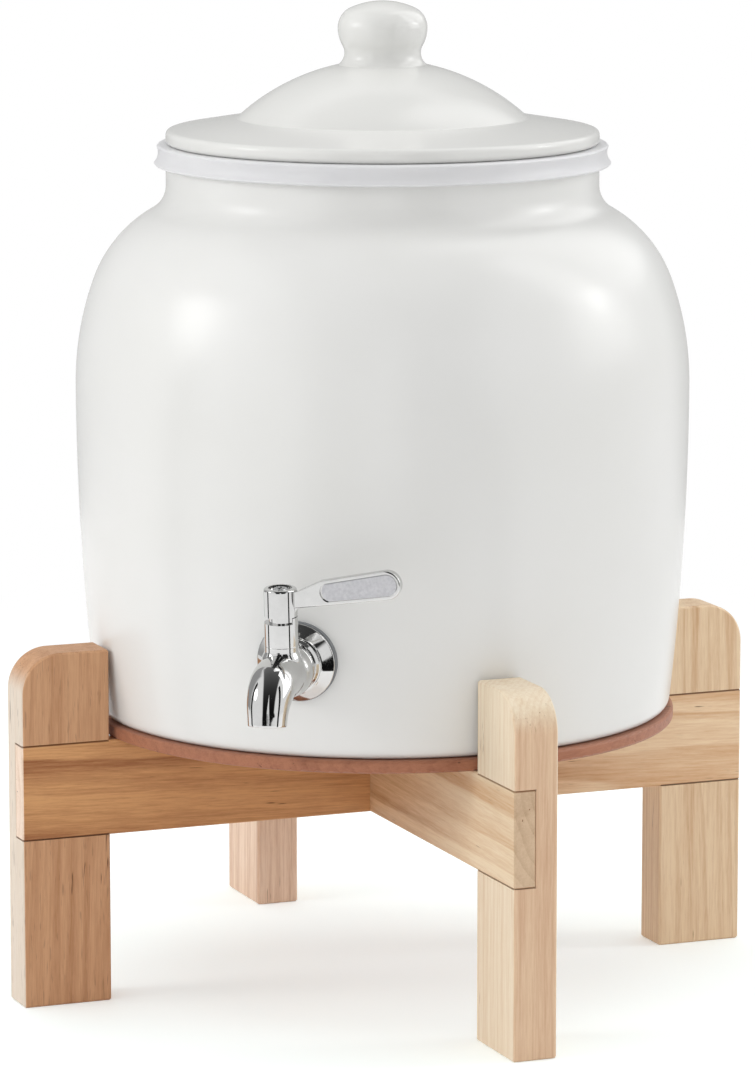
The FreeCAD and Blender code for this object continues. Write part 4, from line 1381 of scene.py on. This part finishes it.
@dataclass
class Stand:
    """Four legs, two beams and the base disc, each from its own piece of timber."""

    angle: float = 37.7
    # Tones partly painted light and shade: pale (near leg) and blush (back left leg) are painted
    # paler where light from the left and above falls on them; the ends are painted paler where they
    # face the left lamp, and darker on the near leg, whose end faces away.
    honey: Tones = Tones("#D0A078", "#A46E44", "#E0D2C1", "#D8C4AE", "#5E3A22")
    pale: Tones = Tones("#F0E0C6", "#D8BA94", "#E5C6A5", "#C49574", "#A07A55")
    straw: Tones = Tones("#ECD2AF", "#C4966A", "#E6C7A0", "#C1946A", "#8F6743")
    blush: Tones = Tones("#F2D8C0", "#BC8C66", "#E6C7A0", "#C1946A", "#8F6743")
    amber: Tones = Tones("#D7A06A", "#844218", "#EFD8C4", "#DDBFA4", "#5C3418")
    sand: Tones = Tones("#E2BC90", "#AE7846", "#D8BC9C", "#BC9C7C", "#8E6440")
    clay: Tones = Tones("#AA7053", "#824E38", "#AA7053", "#824E38", "#5A3826")

    def timbers(self) -> list[Timber]:
        """Lists the wooden pieces with the cut of each.

        Returns:
            One timber for each wooden piece.
        """
        up, along, across = Grain.UPRIGHT, Grain.LENGTHWISE, Grain.ACROSS
        left, right = self.angle + 180, self.angle + 270
        back_right, back_left = self.angle, self.angle + 90
        # Paler ends: sapwood, and on the lower beam also painted shade that keeps its middle dark
        # under the disc and the crock.
        far_end = SapwoodAndShade(-20, -120, "#F3D8B4", "#CC9664")
        near_end = SapwoodAndShade(30, 140, "#EED9B8", "#CFA476")
        # Piece, turn, fibres, place in the log, ring width and contrast, size of the streaks,
        # slant, tones, how checked it is, sapwood with painted shade.
        return [
            Timber("leg_front_left", left, up, (118, -52), 2.8, 0.26, 5, 0.8, self.honey, 0.16),
            Timber("leg_front_right", right, up, (196, 66), 2.6, 0.30, 5, -0.6, self.pale, 0.04),
            Timber("leg_back_right", back_right, up, (128, -58), 2.7, 0.40, 6, 0.5, self.straw),
            Timber("leg_back_left", back_left, up, (176, 61), 2.9, 0.28, 5, 0.7, self.blush, 0.05),
            Timber(
                "beam_lower", left, along, (-84, -46), 5.6, 0.62, 8, 2.2, self.amber, 0.08, far_end
            ),
            Timber(
                "beam_upper", right, along, (-118, 38), 5, 0.46, 8, -1.6, self.sand, 0.08, near_end
            ),
            Timber("base_disc", self.angle + 10, across, (-60, 20), 3.6, 0.22, 6, 0, self.clay),
        ]

    def build(self, frame: dict, zinc: Material) -> None:
        """Gives every wooden piece its own timber and the screws their plating.

        Args:
            frame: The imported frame.
            zinc: The plating.
        """
        for timber in self.timbers():
            dress(frame, timber.node, timber.build())
        dress(frame, "leg_screws", zinc)


# ----------------------------------------------------------------------------
# Studio
# ----------------------------------------------------------------------------


@dataclass(frozen=True)
class Softbox:
    """A round area lamp: its place, width and power in watts, and whether mirrors show it."""

    name: str
    place: tuple[float, float, float]
    size: float
    power: float
    mirrored: bool


@dataclass(frozen=True)
class Cloth:
    """A sheet that only mirrors show, part of a ball, with or without a flat apron.

    Azimuths count in degrees from the camera's side, anticlockwise seen from above. The
    apron runs on the floor from apron metres out to the ball; with none, the sheet hangs
    free. An arched sheet keeps its width over the top, and any other one runs together
    there.
    """

    ACROSS: ClassVar[int] = 65  # points along a row
    UP: ClassVar[int] = 41  # rows on the ball
    LIFT: ClassVar[float] = 2.0 * MM  # clear of the floor
    WEAVE: ClassVar[Pattern] = Pattern(40.0)

    name: str
    dark: str
    light: str
    azimuths: tuple[float, float]
    heights: tuple[float, float]
    apron: float | None = None
    radius: float = 3.2
    strength: float = 1.0
    centre: tuple[float, float] = (0.0, 0.0)
    arched: bool = False
    feather: float = 0.0  # degrees over which the sides and the top fade to plain white
    top_width: float = 1.0  # share of the width left at the top
    rising: float = 0.0  # white gained by the top, with the square of the height

    def grid(self) -> tuple[Points, Points, Points]:
        """Lays a grid over the sheet.

        Returns:
            Share of the width, azimuth and height of each point, the last two in radians.
        """
        share = np.broadcast_to(np.linspace(0, 1, self.ACROSS)[None, :], (self.UP, self.ACROSS))
        height = np.radians(np.linspace(*self.heights, self.UP))[:, None] + 0 * share
        middle = sum(self.azimuths) / 2
        half = (self.azimuths[1] - self.azimuths[0]) / 2
        kept = 1 + (self.top_width - 1) * np.linspace(0, 1, self.UP)[:, None]
        azimuth = np.radians(middle + half * (2 * share - 1) * kept)
        return share, azimuth, height

    def surface(self, camera_azimuth: float) -> Surface:
        """Samples the sheet on a grid.

        Point (a, e) is R (cos e sin a, -cos e cos a, sin e) for azimuth a from the -Y side
        and height e, or R (sin a, -cos a cos e, cos a sin e) if the sheet is arched. One
        more row lies at an apron's near edge. All of it turns with the camera.

        Args:
            camera_azimuth: The camera's azimuth from the -Y side, in radians.

        Returns:
            The open sheet.
        """
        _, side, height = self.grid()
        if self.arched:
            parts = (np.sin(side), -np.cos(side) * np.cos(height), np.cos(side) * np.sin(height))
        else:
            parts = (np.cos(height) * np.sin(side), -np.cos(height) * np.cos(side), np.sin(height))
        rows = self.radius * np.stack(parts, axis=-1)
        if self.apron is not None:
            near = (np.sin(side[:1]), -np.cos(side[:1]), 0 * side[:1])
            rows = np.concatenate((self.apron * np.stack(near, axis=-1), rows))
        points = rows.reshape(-1, 3) + (0.0, 0.0, self.LIFT)
        starts = np.arange(len(rows) - 1)[:, None] * self.ACROSS
        first = (starts + np.arange(self.ACROSS - 1)[None, :]).ravel()
        above = first + self.ACROSS
        faces = np.column_stack((first, above, above + 1, first + 1))
        sheet = Surface(points, faces.tolist())
        turn = Matrix.Rotation(camera_azimuth, 4, "Z")
        return sheet.moved(Matrix.Translation((*self.centre, 0.0)) @ turn)

    def fading(self) -> Points:
        """Works out how far the feather and the rise turn each point plain white.

        With t from 0 inside the feather to 1 at the edge, the share is t² (3 - 2 t).

        Returns:
            The share of plain white at each point of the surface.
        """
        share, _, height = self.grid()
        fade = 0 * share
        if self.feather:
            sides = np.minimum(share, 1 - share) * (self.azimuths[1] - self.azimuths[0])
            top = self.heights[1] - np.degrees(height)
            fade = 1 - np.clip(np.minimum(sides, top) / self.feather, 0.0, 1.0)
        fade = fade * fade * (3 - 2 * fade)
        fade = np.maximum(fade, self.rising * np.linspace(0, 1, self.UP)[:, None] ** 2)
        return (fade if self.apron is None else np.concatenate((fade[:1], fade))).ravel()

    def finish(self) -> Material:
        """Makes the sheet's own glow.

        Returns:
            The material.
        """
        material = bpy.data.materials.new(self.name)
        recipe = Recipe(material)
        weave = self.WEAVE.build(recipe, recipe.add("TexCoord", output="Object"))
        tone = recipe.mottled(weave, self.dark, self.light)
        lit = recipe.add("VectorMath", (tone, self.strength), operation="SCALE")
        share = recipe.add("Attribute", output="Fac", attribute_name="plain_white")
        faded = recipe.add("Mix", (share, lit, WHITE), data_type="RGBA")
        recipe.add("OutputMaterial", (recipe.add("Emission", (faded, 1.0)),))
        return material


@dataclass
class Studio:
    """A white seamless floor, soft lamps, sheets for mirrors to show, and the camera."""

    camera_place: tuple[float, float, float] = (0.6437, -2.2748, 0.5999)
    camera_pitch: float = -0.1697
    camera_turn: float = 0.2767
    camera_sight: float = 60.0  # how far it sees
    lens: float = 180.3
    sensor: float = 36.0
    lamp_target: tuple[float, float, float] = (0.0, 0.0, 0.25)
    floor_size: float = 30.0
    floor_tones: tuple[str, str] = ("#F8F8F8", "#FBFBFB")
    floor_paper: Pattern = Pattern(260.0)
    floor_roughness: float = 0.7
    floor_specular: float = 0.2
    floor_lift: float = 0.31  # white that the camera sees added to the lit floor
    floor_share: float = 0.89  # how much of the lit floor it sees
    floor_tint: tuple[float, float, float] = (0.93, 1.03, 1.03)  # against the wood's warm glow
    shadow_reach: tuple[float, float] = (0.40, 0.95)  # the floor turns plain white between
    world_light: float = 0.78
    softboxes: tuple[Softbox, ...] = (
        Softbox("softbox_left", (-1.635, -0.88, 0.98), 0.66, 4.0, True),
        Softbox("silk_left", (-1.60, -1.15, 1.00), 0.80, 5.4, False),
        Softbox("softbox_right", (1.77, 0.70, 1.04), 0.40, 2.4, True),
        Softbox("silk_right", (1.77, 0.74, 1.40), 0.50, 3.6, False),
        Softbox("softbox_above", (-0.3, 0.2, 2.60), 2.20, 11.0, False),
    )
    cloths: tuple[Cloth, ...] = (
        Cloth(
            "matt_black_front_cloth", "#101010", "#1A1A1A", (-30.0, 36.0), (0.0, 118.0), 0.92,
            arched=True, feather=6.0, rising=0.22,
        ),
        Cloth(
            "white_gap_in_cloth", "#F4F4F4", "#FFFFFF", (-5.0, 7.5), (0.0, 38.0), 0.92,
            radius=3.1, top_width=0.06,
        ),
        Cloth(
            "light_grey_back_paper", "#A4A4A4", "#AAAAAA", (132.0, 263.0), (0.0, 60.0), 1.2,
            feather=15.0,
        ),
        Cloth(
            "silk_over_right_shoulder", "#FFFFFF", "#FFFFFF", (76.0, 112.0), (10.0, 66.0),
            radius=3.15, strength=2.9, feather=3.0,
        ),
        Cloth(
            "silk_behind_right_shoulder", "#FFFFFF", "#FFFFFF", (102.0, 152.0), (20.0, 84.0),
            radius=3.12, strength=2.1, feather=14.0,
        ),
        Cloth(
            "black_flag_left", "#141414", "#1C1C1C", (-104.0, -93.0), (0.0, 60.0), 0.30,
            radius=0.35, centre=(0.0, -0.18),
        ),
        Cloth(
            "black_flag_right", "#141414", "#1C1C1C", (58.0, 68.0), (0.0, 60.0), 0.30,
            radius=0.35, centre=(0.0, -0.18),
        ),
    )

    def camera(self) -> None:
        """Places the camera a little above the shoulder, looking slightly down."""
        data = bpy.data.cameras.new("camera")
        data.sensor_fit = "VERTICAL"
        data.sensor_height = self.sensor
        data.lens = self.lens
        data.clip_end = self.camera_sight
        camera = placed("camera", data)
        camera.location = self.camera_place
        camera.rotation_euler = (math.pi / 2 + self.camera_pitch, 0.0, self.camera_turn)
        bpy.context.scene.camera = camera

    def lamps(self) -> None:
        """Hangs the softboxes, each turned towards the crock."""
        for softbox in self.softboxes:
            data = bpy.data.lights.new(softbox.name, "AREA")
            data.shape = "DISK"
            data.size = softbox.size
            data.energy = softbox.power
            lamp = placed(softbox.name, data)
            lamp.location = softbox.place
            lamp.visible_glossy = softbox.mirrored
            towards = Vector(self.lamp_target) - Vector(softbox.place)
            lamp.rotation_euler = towards.to_track_quat("-Z", "Y").to_euler()

    def seen(self, recipe: Recipe) -> Socket:
        """Tells what the camera sees, straight or in a mirror or through glass.

        Args:
            recipe: The recipe that asks.

        Returns:
            A value that is 1 for what it sees and 0 otherwise.
        """
        rays = recipe.add("LightPath").node.outputs
        bent = (rays["Is Glossy Ray"], rays["Is Transmission Ray"])
        mirrored = recipe.add("Math", bent, operation="MAXIMUM")
        return recipe.add("Math", (rays["Is Camera Ray"], mirrored), operation="MAXIMUM")

    def sky(self) -> None:
        """Lights the scene evenly, and shows plain white to the camera and to mirrors."""
        world = bpy.data.worlds.new("studio_white")
        bpy.context.scene.world = world
        recipe = Recipe(world)
        strength = recipe.add("MapRange", (self.seen(recipe), 0.0, 1.0, self.world_light, 1.0))
        recipe.add("OutputWorld", (recipe.add("Background", (WHITE, strength)),))

    def floor_finish(self) -> Material:
        """Makes the floor's paper, which fades into plain white away from the object.

        Returns:
            The material.
        """
        material = bpy.data.materials.new("matt_white_studio_floor")
        recipe = Recipe(material)
        where = recipe.add("TexCoord", output="Object")
        tone = recipe.mottled(self.floor_paper.build(recipe, where), *self.floor_tones)
        seen = self.seen(recipe)
        straight = recipe.add("LightPath", output="Is Camera Ray")
        plainly = (self.floor_share,) * 3 + (1.0,)
        tinted = (*(self.floor_share * tint for tint in self.floor_tint), 1.0)
        shown = recipe.add("Mix", (straight, plainly, tinted), data_type="RGBA")
        paper = {
            "Base Color": recipe.add("Mix", (seen, tone, shown), data_type="RGBA"),
            "Roughness": self.floor_roughness,
            "Specular IOR Level": self.floor_specular,
            "Emission Color": WHITE,
            "Emission Strength": recipe.add("Math", (seen, self.floor_lift), operation="MULTIPLY"),
        }
        near = recipe.add("BsdfPrincipled", paper)
        distance = recipe.add("VectorMath", (where,), operation="LENGTH")
        fade = (distance, *self.shadow_reach)
        far = recipe.add("MapRange", fade, interpolation_type="SMOOTHSTEP")
        share = recipe.add("Math", (far, seen), operation="MULTIPLY")
        plain = recipe.add("Emission", (WHITE, 1.0))
        recipe.add("OutputMaterial", (recipe.add("MixShader", (share, near, plain)),))
        return material

    def floor(self) -> None:
        """Lays the floor: it keeps the object's shadow and turns plain white further off."""
        half = self.floor_size / 2
        mesh = bpy.data.meshes.new("floor")
        corners = [(-half, -half, 0.0), (half, -half, 0.0), (half, half, 0.0), (-half, half, 0.0)]
        mesh.from_pydata(corners, [], [(0, 1, 2, 3)])
        mesh.materials.append(self.floor_finish())
        floor = placed("floor", mesh)

    def hang(self, cloth: Cloth) -> None:
        """Hangs one sheet, which lights nothing and which only mirrors show.

        Args:
            cloth: The sheet.
        """
        sheet = cloth.surface(math.atan2(self.camera_place[0], -self.camera_place[1]))
        mesh = bpy.data.meshes.new(cloth.name)
        mesh.from_pydata(sheet.points.tolist(), [], sheet.faces)
        fading = mesh.attributes.new("plain_white", "FLOAT", "POINT")
        fading.data.foreach_set("value", cloth.fading())
        mesh.materials.append(cloth.finish())
        hung = placed(cloth.name, mesh)
        hung.visible_camera = hung.visible_diffuse = hung.visible_shadow = False

    def build(self) -> None:
        """Sets up the whole studio."""
        self.camera()
        self.lamps()
        self.sky()
        self.floor()
        for cloth in self.cloths:
            self.hang(cloth)
        bpy.context.scene.view_settings.view_transform = "Standard"


# ----------------------------------------------------------------------------
# Everything in order
# ----------------------------------------------------------------------------


def finishes() -> dict[str, Material]:
    """Makes the finishes that several pieces share.

    Returns:
        The materials by their short names.
    """
    palette = {
        "glaze": SatinGlaze(),
        # The lid's glaze is the crock's, made glossier and painted a little darker as shade on the
        # lid.
        "lid_glaze": SatinGlaze("glossier_white_lid_glaze", "#E5E5E2", "#E1E1DE", roughness=0.19),
        "clear_silicone": Silicone(
            "milky_clear_silicone", "#E0E0E1", "#DADADC", roughness=0.36, glow=0.3
        ),
        "grey_silicone": Silicone(
            "grey_silicone", "#8E9194", "#808386", roughness=0.6, glow=0.05
        ),
        "chrome": Metal(
            "polished_chrome_on_brass", "#D3D3D2", "#CCCCCB",
            roughness=0.045, mark_mm=5.0, mark_depth_mm=0.001,
        ),
        "steel": Metal(
            "turned_stainless_steel", "#BFC0C2", "#A9AAAD",
            roughness=0.25, mark_mm=0.8, mark_depth_mm=0.01,
        ),
        "zinc": Metal(
            "bright_zinc_plate", "#C4C1B6", "#ABA793",
            roughness=0.32, mark_mm=1.5, mark_depth_mm=0.01,
        ),
        "brass": Metal(
            "machined_brass", "#D2B06A", "#BC9850",
            roughness=0.22, mark_mm=0.7, mark_depth_mm=0.01,
        ),
        "nitrile": MouldedPlastic("black_nitrile_rubber", "#1D1D1E", "#151516"),
        "inlay": MouldedPlastic("matt_grey_abs", "#CBCBCE", "#BABABE", grain_mm=1.3),
    }
    return {name: finish.build() for name, finish in palette.items()}


def main() -> None:
    """Builds the pieces in order and logs each step."""
    logging.basicConfig(level=logging.INFO, format="%(name)s: %(message)s")
    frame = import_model()
    shared = finishes()
    crock = Crock()
    crock.build(shared["glaze"])
    LOG.info("crock turned and glazed")
    RimRing().build(shared["clear_silicone"])
    LOG.info("rim ring slipped on")
    Lid().build(shared["lid_glaze"])
    LOG.info("lid turned and glazed")
    Tap(crock).build(frame, shared)
    LOG.info("tap assembled")
    Stand().build(frame, shared["zinc"])
    LOG.info("stand dressed")
    Studio().build()
    LOG.info("studio lit")


if __name__ == "__main__":
    main()
